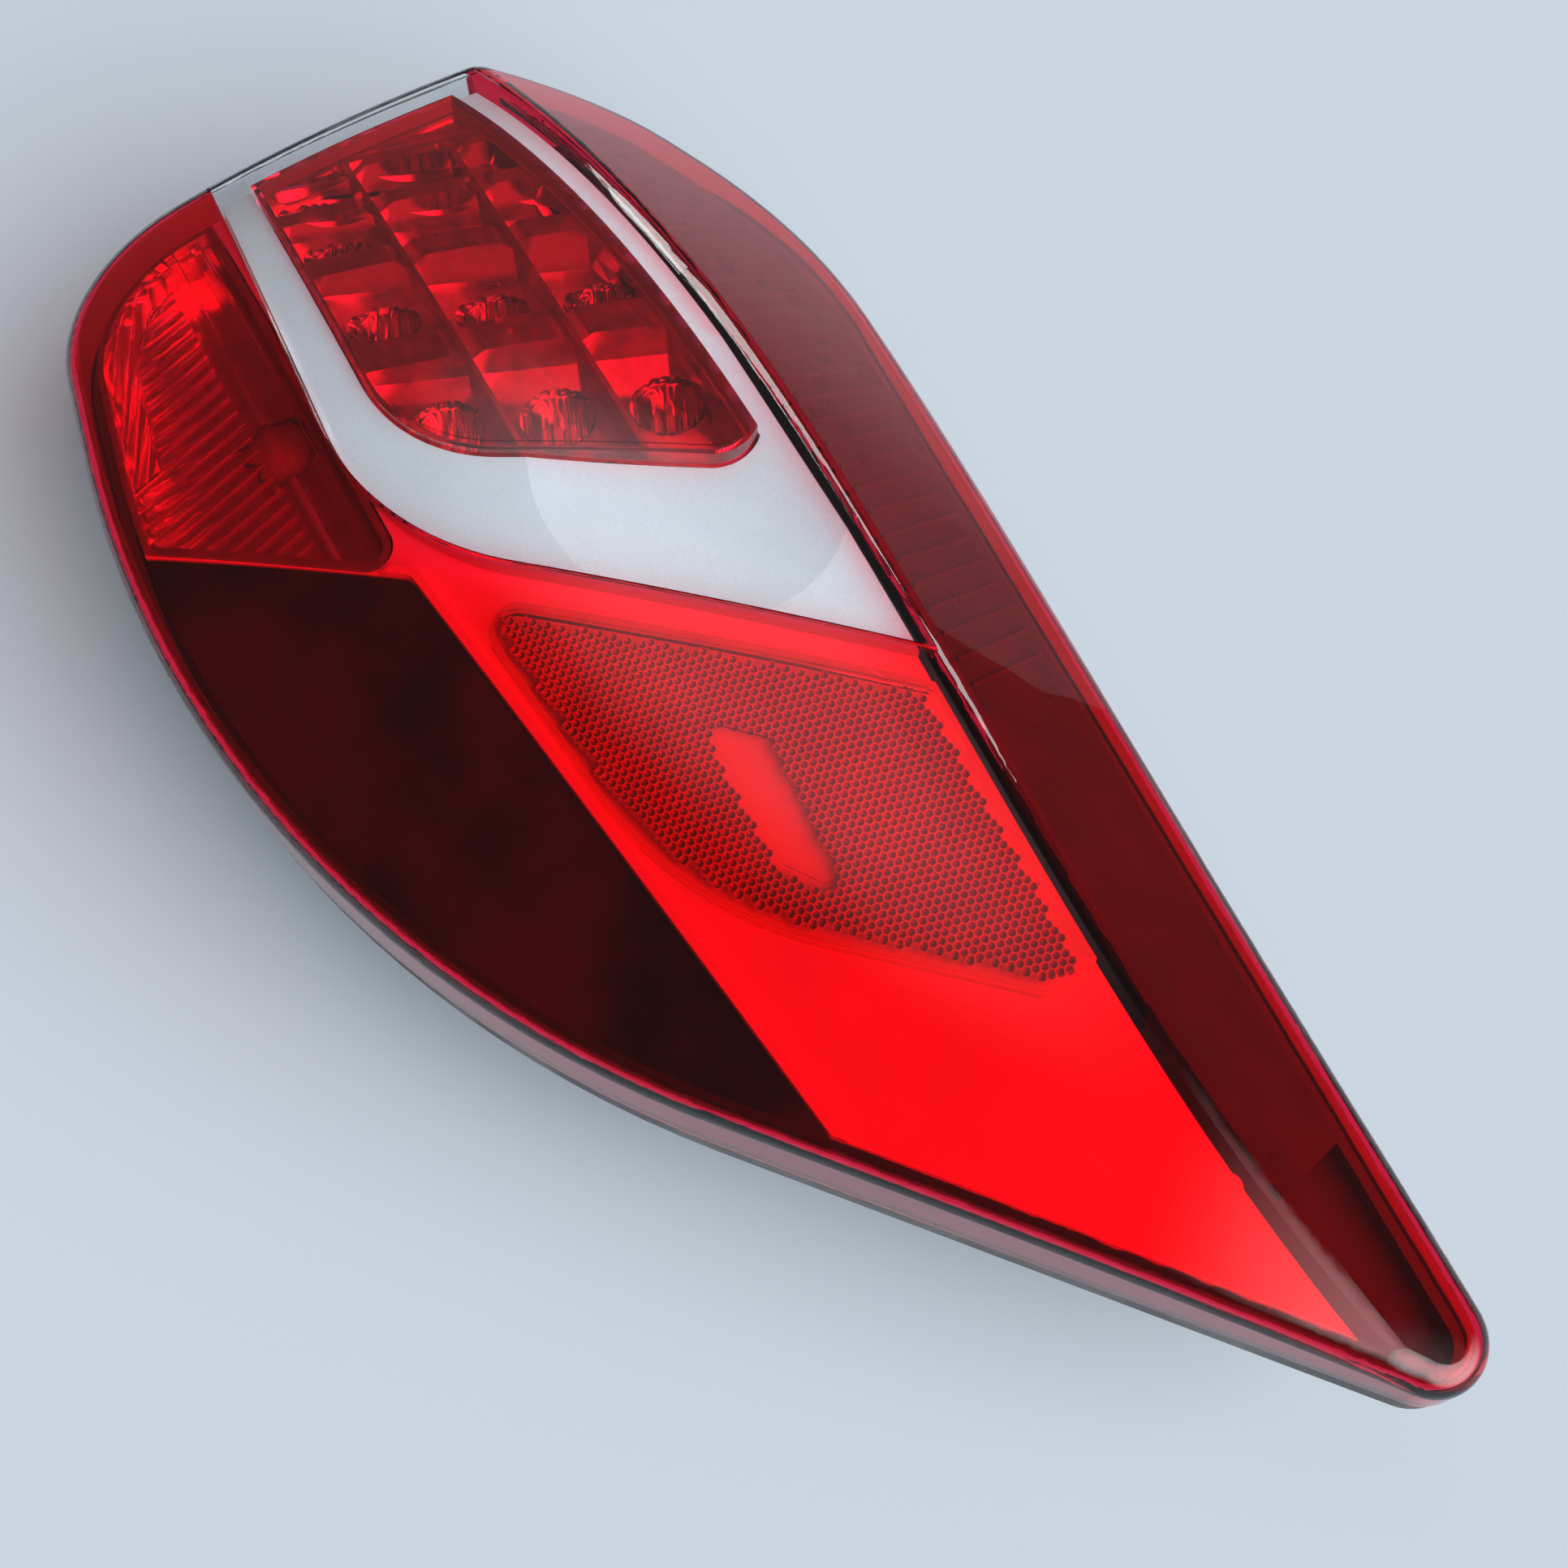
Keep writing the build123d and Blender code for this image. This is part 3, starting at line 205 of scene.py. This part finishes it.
def start_finish(name, colour, roughness, metallic=0.0):
    """Material with a Principled shader; returns the material, its tree, the shader and Object places."""
    material = bpy.data.materials.new(name)
    material.use_nodes = True
    tree = material.node_tree
    shader = tree.nodes["Principled BSDF"]
    shader.inputs["Base Color"].default_value = (*colour, 1)
    shader.inputs["Roughness"].default_value = roughness
    shader.inputs["Metallic"].default_value = metallic
    place = tree.nodes.new("ShaderNodeTexCoord").outputs["Object"]
    return material, tree, shader, place


def floor_paint(name):
    """Matt paint whose colour darkens away from the lamp as painted shade."""
    material, tree, shader, place = start_finish(name, FLOOR_COLOUR, FLOOR_ROUGHNESS)
    shader.inputs["Specular IOR Level"].default_value = FLOOR_SPECULAR
    # Painted shade: the colour darkens with distance from the lamp.
    painted_shade_share = fade(tree, distance(tree, place), FLOOR_BRIGHT_RADIUS, FLOOR_PAINTED_SHADE_RADIUS)
    tree.links.new(blend(tree, painted_shade_share, FLOOR_COLOUR, FLOOR_PAINTED_SHADE_COLOUR), shader.inputs["Base Color"])
    return material


bpy.ops.object.select_all(action="DESELECT")
bpy.ops.mesh.primitive_plane_add(size=FLOOR_SIZE, location=(0, 0, 0))
floor = bpy.context.object
floor.name = "floor"
floor.data.materials.append(floor_paint("floor_paint"))
print("floor", FLOOR_SIZE, "m")

# %% [markdown]
# No real surface is quite even. Photographs of surfaces could show that, but they repeat and need
# unwrapped solids, so the finishes below read noise instead. These helpers turn a noise into colour or
# roughness. Only the middle of its range is used, because noise seldom comes near 0 or 1.

# %% Uneven colour and roughness
NOISE_LOW = 0.35
NOISE_HIGH = 0.65


def noise(tree, place, size, detail=2.0, stretch=(1, 1, 1)):
    """Noise whose grains measure about a size in metres."""
    mapping = tree.nodes.new("ShaderNodeMapping")
    mapping.inputs["Scale"].default_value = stretch
    tree.links.new(place, mapping.inputs["Vector"])
    texture = tree.nodes.new("ShaderNodeTexNoise")
    texture.inputs["Scale"].default_value = 1 / size
    texture.inputs["Detail"].default_value = detail
    tree.links.new(mapping.outputs["Vector"], texture.inputs["Vector"])
    return texture.outputs["Fac"]


def spread(tree, field, low, high, start=NOISE_LOW, end=NOISE_HIGH):
    """Value that runs from low to high while a field runs from start to end."""
    stretched = tree.nodes.new("ShaderNodeMapRange")
    stretched.inputs["From Min"].default_value = start
    stretched.inputs["From Max"].default_value = end
    stretched.inputs["To Min"].default_value = low
    stretched.inputs["To Max"].default_value = high
    tree.links.new(field, stretched.inputs["Value"])
    return stretched.outputs["Result"]


def tint(tree, shader, field, first, second, start=NOISE_LOW, end=NOISE_HIGH):
    """Base colour that varies between two colours with a field."""
    share = spread(tree, field, 0, 1, start, end)
    tree.links.new(blend(tree, share, first, second), shader.inputs["Base Color"])


def vary_roughness(tree, shader, field, low, high):
    """Roughness that runs from low to high with a field."""
    tree.links.new(spread(tree, field, low, high), shader.inputs["Roughness"])


print("patterns use the noise from", NOISE_LOW, "to", NOISE_HIGH)

# %% [markdown]
# Moulded and painted surfaces have a grain of some hundredths of a millimetre. That is too fine for a
# mesh, so a Bump node tilts only the shading. A finish that is ready goes on its solids as their one
# material, in place of the plain one that they come with.

# %% Grain and dressing
def bumps(tree, shader, field, height):
    """Small relief of a height in metres."""
    bump = tree.nodes.new("ShaderNodeBump")
    bump.inputs["Distance"].default_value = height
    tree.links.new(field, bump.inputs["Height"])
    tree.links.new(bump.outputs["Normal"], shader.inputs["Normal"])


def dress(material, *names):
    """Give solids a finish."""
    for name in names:
        nodes[name].data.materials.clear()
        nodes[name].data.materials.append(material)
    print(material.name, "on", ", ".join(names))


print(len(nodes), "nodes to dress")

# %% [markdown]
# The lens is moulded in two colours of clear acrylic, and a lens of the same stuff covers the diodes.
# Glass shaders bend light, which keeps lamps from finding what lies behind them, so the render would
# be dark or grainy inside. Here rays from lamps and from matt surfaces pass straight through a tinted
# clear shader instead, and the eye still sees real refraction. The tint is a little uneven, as moulded
# plastic is. The outer lens also has dust specks and fine scratches, which are rough spots in an
# otherwise sharp surface.

# %% Clear plastic
ACRYLIC_IOR = 1.49
CLOUD_SIZE = 26 * MM
DEEPER_SHARE = 0.97
DUST_SIZE = 1.1 * MM
SPECK_BAND = (0.66, 0.72)
SCRATCH_SIZE = 3 * MM
SCRATCH_STRETCH = (0.08, 1.6, 1)
SCRATCH_BAND = (0.68, 0.74)


def larger(tree, first, second):
    """The larger of two values."""
    larger_node = tree.nodes.new("ShaderNodeMath")
    larger_node.operation = "MAXIMUM"
    tree.links.new(first, larger_node.inputs[0])
    tree.links.new(second, larger_node.inputs[1])
    return larger_node.outputs["Value"]


def clear_plastic(name, colour, roughness=0.0, dust=0.0):
    """Acrylic that tints what is seen through a whole wall of it by the colour."""
    material, tree, shader, place = start_finish(name, colour, roughness)
    shader.inputs["Transmission Weight"].default_value = 1
    shader.inputs["IOR"].default_value = ACRYLIC_IOR
    deeper = tuple(c * DEEPER_SHARE for c in colour)
    tint(tree, shader, noise(tree, place, CLOUD_SIZE, detail=1), deeper, colour)
    if dust:
        specks = spread(tree, noise(tree, place, DUST_SIZE, detail=1), 0, dust, *SPECK_BAND)
        lines = noise(tree, place, SCRATCH_SIZE, stretch=SCRATCH_STRETCH)
        scratches = spread(tree, lines, 0, dust, *SCRATCH_BAND)
        tree.links.new(larger(tree, specks, scratches), shader.inputs["Roughness"])

    clear = tree.nodes.new("ShaderNodeBsdfTransparent")
    clear.inputs["Color"].default_value = (*[math.sqrt(c) for c in colour], 1)
    rays = tree.nodes.new("ShaderNodeLightPath")
    straight = larger(tree, rays.outputs["Is Shadow Ray"], rays.outputs["Is Diffuse Ray"])
    choice = tree.nodes.new("ShaderNodeMixShader")
    tree.links.new(straight, choice.inputs["Fac"])
    tree.links.new(shader.outputs["BSDF"], choice.inputs[1])
    tree.links.new(clear.outputs["BSDF"], choice.inputs[2])
    tree.links.new(choice.outputs["Shader"], tree.nodes["Material Output"].inputs["Surface"])
    return material


print("clear plastic with a refractive index of", ACRYLIC_IOR)

# %% [markdown]
# Six pieces are clear. Light crosses the outer lens on its way in and again on its way out, so its red
# counts twice. One red could serve all the red pieces, but the reflex plate lies under the red part of
# the outer lens and would turn black there, so its red is much lighter. The diodes' cover lies under the
# clear part, so its red is nearly as deep. The fluted lens before the bulb is slightly frosted, which
# blurs the bulb behind it.

# %% Lenses
RED_PLASTIC = (0.96, 0.015, 0.065)
DIODE_RED_PLASTIC = (0.96, 0.028, 0.10)
REFLEX_RED_PLASTIC = (0.97, 0.16, 0.2)
CLEAR_PLASTIC = (0.97, 0.98, 0.98)
FROSTED_PLASTIC = (0.86, 0.72, 0.70)
FROST_ROUGHNESS = 0.13
LENS_DUST = 0.10

dress(clear_plastic("red_lens_plastic", RED_PLASTIC, dust=LENS_DUST), "red_outer_lens")
dress(clear_plastic("clear_lens_plastic", CLEAR_PLASTIC, dust=LENS_DUST), "clear_lens_insert")
dress(clear_plastic("diode_lens_plastic", DIODE_RED_PLASTIC), "led_inner_lens")
dress(clear_plastic("reflex_plastic", REFLEX_RED_PLASTIC), "reflex_reflector")
dress(clear_plastic("optic_plastic", CLEAR_PLASTIC), "led_optics")
dress(clear_plastic("flute_plastic", FROSTED_PLASTIC, FROST_ROUGHNESS), "turn_inner_lens")

# %% [markdown]
# The reflectors behind the diodes and the bulb are moulded plastic with a thin coat of aluminium. A
# perfect mirror would be simpler, but it looks drawn. So this is a metal shader with a low roughness,
# duller patches and a faint waviness. The bulb takes the same steps with a dim satin colour, because
# clear glass would look black behind the fluted lens.

# %% Bright coats
ALUMINIUM = (0.92, 0.92, 0.93)
BULB_SATIN = (0.34, 0.27, 0.20)
DULL_SHARE = 0.93
COAT_SMOOTHER = 0.7
COAT_ROUGHER = 1.3


def bright_finish(name, colour, metallic, roughness, ripple_size, ripple_height):
    """Thin coat with duller patches over slightly wavy plastic or glass."""
    material, tree, shader, place = start_finish(name, colour, roughness, metallic)
    ripples = noise(tree, place, ripple_size)
    vary_roughness(tree, shader, ripples, roughness * COAT_SMOOTHER, roughness * COAT_ROUGHER)
    dull = tuple(c * DULL_SHARE for c in colour)
    tint(tree, shader, noise(tree, place, ripple_size / 2, detail=3), dull, colour)
    bumps(tree, shader, ripples, ripple_height)
    return material


dress(bright_finish("bright_coat", ALUMINIUM, metallic=0.96, roughness=0.17,
                    ripple_size=9 * MM, ripple_height=0.05 * MM),
      "led_reflector", "turn_signal_reflector")
dress(bright_finish("satin_bulb", BULB_SATIN, metallic=0.3, roughness=0.55,
                    ripple_size=7 * MM, ripple_height=0.03 * MM),
      "turn_signal_bulb")

# %% [markdown]
# The tail panel spreads light evenly, so it is no mirror: it is pale satin paint under a thin gloss.
# A metal shader would mirror the dim room and look grey. Broad clouds vary its colour and its
# roughness together, and a fine grain breaks up the gloss.

# %% Tail panel
TAIL_WHITE = (0.96, 0.95, 0.94)
TAIL_DULL = (0.90, 0.88, 0.87)
TAIL_ROUGHNESS = (0.30, 0.46)
TAIL_GLOSS = 0.3
TAIL_CLOUD_SIZE = 40 * MM
TAIL_GRAIN_SIZE = 0.6 * MM
TAIL_GRAIN_HEIGHT = 0.01 * MM


def satin_white_paint(name):
    """Pale satin paint that spreads the light evenly."""
    material, tree, shader, place = start_finish(name, TAIL_WHITE, TAIL_ROUGHNESS[0])
    shader.inputs["Coat Weight"].default_value = TAIL_GLOSS
    clouds = noise(tree, place, TAIL_CLOUD_SIZE)
    tint(tree, shader, clouds, TAIL_DULL, TAIL_WHITE)
    vary_roughness(tree, shader, clouds, *TAIL_ROUGHNESS)
    bumps(tree, shader, noise(tree, place, TAIL_GRAIN_SIZE), TAIL_GRAIN_HEIGHT)
    return material


dress(satin_white_paint("tail_satin"), "tail_reflector")

# %% [markdown]
# The bezel around the diodes is painted silver. Such paint is flakes of metal in lacquer: from afar it
# is a soft blue-grey, and close up it is speckled. One fine noise makes the flakes' colour, roughness
# and relief at once, and only a little metal is mixed in, so that the paint stays pale.

# %% Silver bezel
SILVER_PALE = (0.66, 0.72, 0.78)
SILVER_DEEP = (0.58, 0.64, 0.70)
SILVER_ROUGHNESS = (0.28, 0.42)
SILVER_METALLIC = 0.3
FLAKE_SIZE = 0.35 * MM
FLAKE_HEIGHT = 0.006 * MM


def silver_paint(name):
    """Silver paint with fine flakes."""
    material, tree, shader, place = start_finish(name, SILVER_PALE, SILVER_ROUGHNESS[0], SILVER_METALLIC)
    flakes = noise(tree, place, FLAKE_SIZE)
    tint(tree, shader, flakes, SILVER_DEEP, SILVER_PALE)
    vary_roughness(tree, shader, flakes, *SILVER_ROUGHNESS)
    bumps(tree, shader, flakes, FLAKE_HEIGHT)
    return material


dress(silver_paint("bezel_silver"), "silver_bezel")

# %% [markdown]
# The back of the reflex plate is a honeycomb of small pins whose ends throw light back to where it came
# from. More than a thousand pins would weigh the solid down, so they are modelled here as one thin
# honeycomb under the plate. A texture could only draw it flat. It starts as one six-sided face: a copy
# half a step over makes the pattern's unit, and two arrays spread that over the plate's box.

# %% Honeycomb net
PIN_PITCH = 2.2 * MM
PIN_ROW_HEIGHT = PIN_PITCH * math.sqrt(3) / 2
NET_CLEARANCE = 5 * MM

plate = nodes["reflex_reflector"]
plate_low, plate_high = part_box("reflex_reflector")
net_columns = math.ceil((plate_high[0] - plate_low[0]) / PIN_PITCH) + 1
net_rows = math.ceil((plate_high[1] - plate_low[1]) / (2 * PIN_ROW_HEIGHT)) + 1
bpy.ops.object.select_all(action="DESELECT")
bpy.ops.mesh.primitive_circle_add(
    vertices=6, radius=PIN_PITCH / math.sqrt(3), fill_type="NGON",
    location=(plate_low[0], plate_low[1], plate_low[2] - NET_CLEARANCE))
pins = bpy.context.object
pins.name = "reflex_pins"
bpy.ops.object.transform_apply(location=True, rotation=False, scale=False)
bpy.ops.object.mode_set(mode="EDIT")
bpy.ops.mesh.select_all(action="SELECT")
bpy.ops.mesh.duplicate()
bpy.ops.transform.translate(value=(PIN_PITCH / 2, PIN_ROW_HEIGHT, 0))
bpy.ops.object.mode_set(mode="OBJECT")


def apply_modifier(piece, kind, **settings):
    """Add a modifier, set it and apply it at once."""
    bpy.ops.object.modifier_add(type=kind)
    modifier = piece.modifiers[-1]
    for setting, value in settings.items():
        setattr(modifier, setting, value)
    bpy.ops.object.modifier_apply(modifier=modifier.name)


for count, step in [(net_columns, (PIN_PITCH, 0, 0)), (net_rows, (0, 2 * PIN_ROW_HEIGHT, 0))]:
    apply_modifier(pins, "ARRAY", count=count, use_relative_offset=False, use_constant_offset=True,
                   constant_offset_displace=step)
print(pins.name, len(pins.data.polygons), "cells over the plate's box")

# %% [markdown]
# Only the plate's flat field has pins: not its bevel, its skirt or the plain pane. Those differ in
# thickness, so a ray down through the plate tells them apart at each cell's corners. The cells that fail
# are selected and deleted.

# %% Trim the net
PLATE_THICKNESS = 3.0 * MM
THICKNESS_SLACK = 0.25 * MM
RAY_STEP = 0.1 * MM
DOWN = Vector((0, 0, -1))


def plate_thickness(point):
    """Height of plastic over a place, or 0 beside the plate."""
    above = Vector((point.x, point.y, plate_high[2] + RAY_STEP))
    found, top = plate.ray_cast(above, DOWN)[:2]
    if not found:
        return 0
    found, bottom = plate.ray_cast(top + DOWN * RAY_STEP, DOWN)[:2]
    return top.z - bottom.z if found else 0


bpy.ops.object.mode_set(mode="EDIT")
bpy.ops.mesh.select_mode(type="FACE")
bpy.ops.mesh.select_all(action="DESELECT")
bpy.ops.object.mode_set(mode="OBJECT")
flat = [abs(plate_thickness(vertex.co) - PLATE_THICKNESS) < THICKNESS_SLACK for vertex in pins.data.vertices]
for cell in pins.data.polygons:
    cell.select = not all(flat[corner] for corner in cell.vertices)
bpy.ops.object.mode_set(mode="EDIT")
bpy.ops.mesh.delete(type="FACE")
bpy.ops.object.mode_set(mode="OBJECT")
print(pins.name, len(pins.data.polygons), "cells kept")

# %% [markdown]
# A Shrinkwrap modifier lifts the flat net onto the plate's domed underside. Then each cell gets its
# form: an inset leaves a thin level border, and a poke pulls the middle down into the pin's point. The
# middles take the second of two material slots. A little thickness closes the sheet.

# %% Shape the pins
PIN_BORDER = 0.19 * MM
PIN_DEPTH = 0.8 * MM
PIN_GAP = 0.1 * MM
PIN_SKIN = 0.15 * MM
MERGE_DISTANCE = 0.02 * MM

apply_modifier(pins, "SHRINKWRAP", target=plate, wrap_method="PROJECT", use_project_z=True,
               use_positive_direction=True, use_negative_direction=False)
bpy.ops.object.mode_set(mode="EDIT")
bpy.ops.mesh.select_all(action="SELECT")
bpy.ops.mesh.remove_doubles(threshold=MERGE_DISTANCE)
bpy.ops.transform.translate(value=(0, 0, -PIN_GAP))
bpy.ops.mesh.inset(thickness=PIN_BORDER, depth=0, use_individual=True)
bpy.ops.object.material_slot_add()
bpy.ops.object.material_slot_add()
bpy.ops.object.material_slot_assign()
bpy.ops.mesh.poke(offset=-PIN_DEPTH)
bpy.ops.object.mode_set(mode="OBJECT")
apply_modifier(pins, "SOLIDIFY", thickness=PIN_SKIN, offset=-1)
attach(pins, "root")
print(pins.name, len(pins.data.polygons), "faces")

# %% [markdown]
# Through the red plate the real pins show as darker cells with lighter lines between them. Bending the
# light in every pin would take long to render and come out grainy, so the pins are plastic with a little
# metal in it, whose facets glint, and the borders get a paler colour than the middles: the pale borders
# are a painted highlight and the dark middles are painted shade.

# %% Finish of the pins
# Painted highlight for the borders, painted shade for the middles.
BORDER_PAINTED_HIGHLIGHT = (0.95, 0.60, 0.62)
BORDER_PAINTED_HIGHLIGHT_DEEP = (0.85, 0.48, 0.50)
CELL_PAINTED_SHADE = (0.29, 0.13, 0.16)
CELL_PAINTED_SHADE_DEEP = (0.21, 0.08, 0.11)
PIN_ROUGHNESS = 0.22
PIN_METALLIC = 0.35
PIN_CLOUD_SIZE = 14 * MM
PIN_GRAIN_SIZE = 0.5 * MM
PIN_GRAIN_HEIGHT = 0.01 * MM


def pin_plastic(name, pale, deep):
    """Plastic whose facets glint, in colours that carry a painted highlight or painted shade."""
    material, tree, shader, place = start_finish(name, pale, PIN_ROUGHNESS, PIN_METALLIC)
    tint(tree, shader, noise(tree, place, PIN_CLOUD_SIZE), deep, pale)
    bumps(tree, shader, noise(tree, place, PIN_GRAIN_SIZE), PIN_GRAIN_HEIGHT)
    return material


pins.material_slots[0].material = pin_plastic("reflex_border_painted_highlight", BORDER_PAINTED_HIGHLIGHT, BORDER_PAINTED_HIGHLIGHT_DEEP)
pins.material_slots[1].material = pin_plastic("reflex_cell_painted_shade", CELL_PAINTED_SHADE, CELL_PAINTED_SHADE_DEEP)
print(pins.name, "wear", ", ".join(slot.material.name for slot in pins.material_slots))

# %% [markdown]
# The strip under the sloping band is dark satin plastic, and so are the housing and its fittings. Plain
# black would do, but a clean black shows nothing but its reflections, so each has a little dust. The
# seals are rubber: the same steps with a duller roughness.

# %% Dark plastics
FINE_DUST_SIZE = 0.8 * MM
FINE_DUST_BAND = (0.62, 0.74)
RUBBED_PATCH_SIZE = 18 * MM
RUBBED_SMOOTHER = 0.8
RUBBED_ROUGHER = 1.3


def dark_plastic(name, colour, dust_colour, roughness, grain_size, grain_height):
    """Dark plastic or rubber with a grain, fine dust and rubbed patches."""
    material, tree, shader, place = start_finish(name, colour, roughness)
    tint(tree, shader, noise(tree, place, FINE_DUST_SIZE), colour, dust_colour, *FINE_DUST_BAND)
    patches = noise(tree, place, RUBBED_PATCH_SIZE)
    vary_roughness(tree, shader, patches, roughness * RUBBED_SMOOTHER, roughness * RUBBED_ROUGHER)
    bumps(tree, shader, noise(tree, place, grain_size), grain_height)
    return material


dress(dark_plastic("dark_satin", (0.06, 0.052, 0.052), (0.10, 0.08, 0.08), roughness=0.30,
                   grain_size=3 * MM, grain_height=0.02 * MM),
      "side_reflector")
dress(dark_plastic("housing_grey", (0.075, 0.075, 0.078), (0.11, 0.11, 0.11), roughness=0.52,
                   grain_size=0.5 * MM, grain_height=0.03 * MM),
      "rear_housing")
dress(dark_plastic("fitting_grey", (0.11, 0.112, 0.115), (0.17, 0.17, 0.17), roughness=0.45,
                   grain_size=0.6 * MM, grain_height=0.03 * MM),
      "turn_bulb_holder", "connector_shroud", "vent_cap")
dress(dark_plastic("seal_rubber", (0.014, 0.014, 0.014), (0.04, 0.04, 0.04), roughness=0.7,
                   grain_size=0.8 * MM, grain_height=0.04 * MM),
      "lens_seal", "bulb_holder_seal")

# %% [markdown]
# The field beside the tail panel is dark gloss. An even black would look like a hole in the lamp. Broad
# clouds make it duller and paler at once, the paler colour being painted reflection, and a faint
# waviness bends what the gloss mirrors.

# %% Dark gloss panel
GLOSS_DEEP = (0.006, 0.005, 0.006)
# The paler colour of the clouds is painted reflection.
GLOSS_PAINTED_REFLECTION = (0.040, 0.032, 0.035)
GLOSS_CLOUD_SIZE = 55 * MM
GLOSS_CLOUD_BAND = (0.42, 0.66)
GLOSS_ROUGHNESS = (0.07, 0.2)
GLOSS_WAVE_SIZE = 6 * MM
GLOSS_WAVE_HEIGHT = 0.02 * MM


def cloudy_gloss(name):
    """Dark gloss plastic with soft duller clouds, painted paler as reflection."""
    material, tree, shader, place = start_finish(name, GLOSS_DEEP, GLOSS_ROUGHNESS[0])
    dullness_and_painted_reflection = noise(tree, place, GLOSS_CLOUD_SIZE, detail=5)
    # The clouds' paler colour is painted reflection; their roughness is real dullness.
    tint(tree, shader, dullness_and_painted_reflection, GLOSS_DEEP, GLOSS_PAINTED_REFLECTION, *GLOSS_CLOUD_BAND)
    vary_roughness(tree, shader, dullness_and_painted_reflection, *GLOSS_ROUGHNESS)
    bumps(tree, shader, noise(tree, place, GLOSS_WAVE_SIZE), GLOSS_WAVE_HEIGHT)
    return material


dress(cloudy_gloss("dark_gloss"), "dark_inner_bezel")

# %% [markdown]
# The gasket on the back is open-cell foam. Its pits could be modelled, but there are thousands of them.
# A Voronoi texture has round cells: its distance is lowest in each cell's middle, which makes the pits,
# and the colour there is darker, painted shade in the pits, with paler walls between them.

# %% Foam
FOAM_COLOUR = (0.018, 0.018, 0.02)
FOAM_ROUGHNESS = 0.95
FOAM_WALL_OVER_PIT_SHADE = 2.2
FOAM_CELL_SIZE = 1.1 * MM
FOAM_CELL_BAND = (0.1, 0.6)
FOAM_PIT_DEPTH = 0.4 * MM


def foam(name):
    """Dark foam with open cells, painted darker in the pits as shade, and paler walls between them."""
    material, tree, shader, place = start_finish(name, FOAM_COLOUR, FOAM_ROUGHNESS)
    cells = tree.nodes.new("ShaderNodeTexVoronoi")
    cells.inputs["Scale"].default_value = 1 / FOAM_CELL_SIZE
    tree.links.new(place, cells.inputs["Vector"])
    # The pits' darker colour is painted shade; the walls between them are paler.
    walls_over_pit_shade = tuple(c * FOAM_WALL_OVER_PIT_SHADE for c in FOAM_COLOUR)
    tint(tree, shader, cells.outputs["Distance"], FOAM_COLOUR, walls_over_pit_shade, *FOAM_CELL_BAND)
    bumps(tree, shader, cells.outputs["Distance"], FOAM_PIT_DEPTH)
    return material


dress(foam("gasket_foam"), "foam_gasket")

# %% [markdown]
# Screws and studs are zinc-plated steel, and the bulb's cap and the connector's pins are brass. An even
# metal shader looks new and clean, so fine upright streaks break up the shine.

# %% Metals
STREAK_SIZE = 0.5 * MM
STREAK_STRETCH = (1, 1, 0.2)
STREAK_HEIGHT = 0.01 * MM
STREAK_SMOOTHER = 0.7
STREAK_ROUGHER = 1.4


def streaked_metal(name, colour, shade, roughness):
    """Metal with streaks that run up and down."""
    material, tree, shader, place = start_finish(name, colour, roughness, metallic=1.0)
    streaks = noise(tree, place, STREAK_SIZE, detail=3, stretch=STREAK_STRETCH)
    tint(tree, shader, streaks, shade, colour)
    vary_roughness(tree, shader, streaks, roughness * STREAK_SMOOTHER, roughness * STREAK_ROUGHER)
    bumps(tree, shader, streaks, STREAK_HEIGHT)
    return material


dress(streaked_metal("zinc_steel", (0.66, 0.66, 0.64), (0.5, 0.5, 0.48), roughness=0.32),
      "mounting_studs", "reflector_screws", "led_board_screws")
dress(streaked_metal("cap_brass", (0.78, 0.60, 0.30), (0.62, 0.46, 0.22), roughness=0.3),
      "turn_bulb_base", "connector_pins")

# %% [markdown]
# The diodes sit on white circuit boards. Their packages are pale, with a yellow gel on top. Little of
# either shows, so patches of a slightly different colour are enough for them.

# %% Boards and diodes
PACKAGE_GRAIN_SIZE = 0.3 * MM
PACKAGE_GRAIN_HEIGHT = 0.01 * MM


def patchy_paint(name, colour, patch_colour, patch_size, roughness):
    """Fine-grained paint with patches of a second colour."""
    material, tree, shader, place = start_finish(name, colour, roughness)
    tint(tree, shader, noise(tree, place, patch_size), colour, patch_colour)
    bumps(tree, shader, noise(tree, place, PACKAGE_GRAIN_SIZE), PACKAGE_GRAIN_HEIGHT)
    return material


dress(patchy_paint("board_white", (0.72, 0.73, 0.70), (0.62, 0.65, 0.60), patch_size=5 * MM, roughness=0.45),
      "led_boards")
dress(patchy_paint("diode_gel", (0.85, 0.80, 0.55), (0.80, 0.66, 0.25), patch_size=2 * MM, roughness=0.3),
      "led_chips")
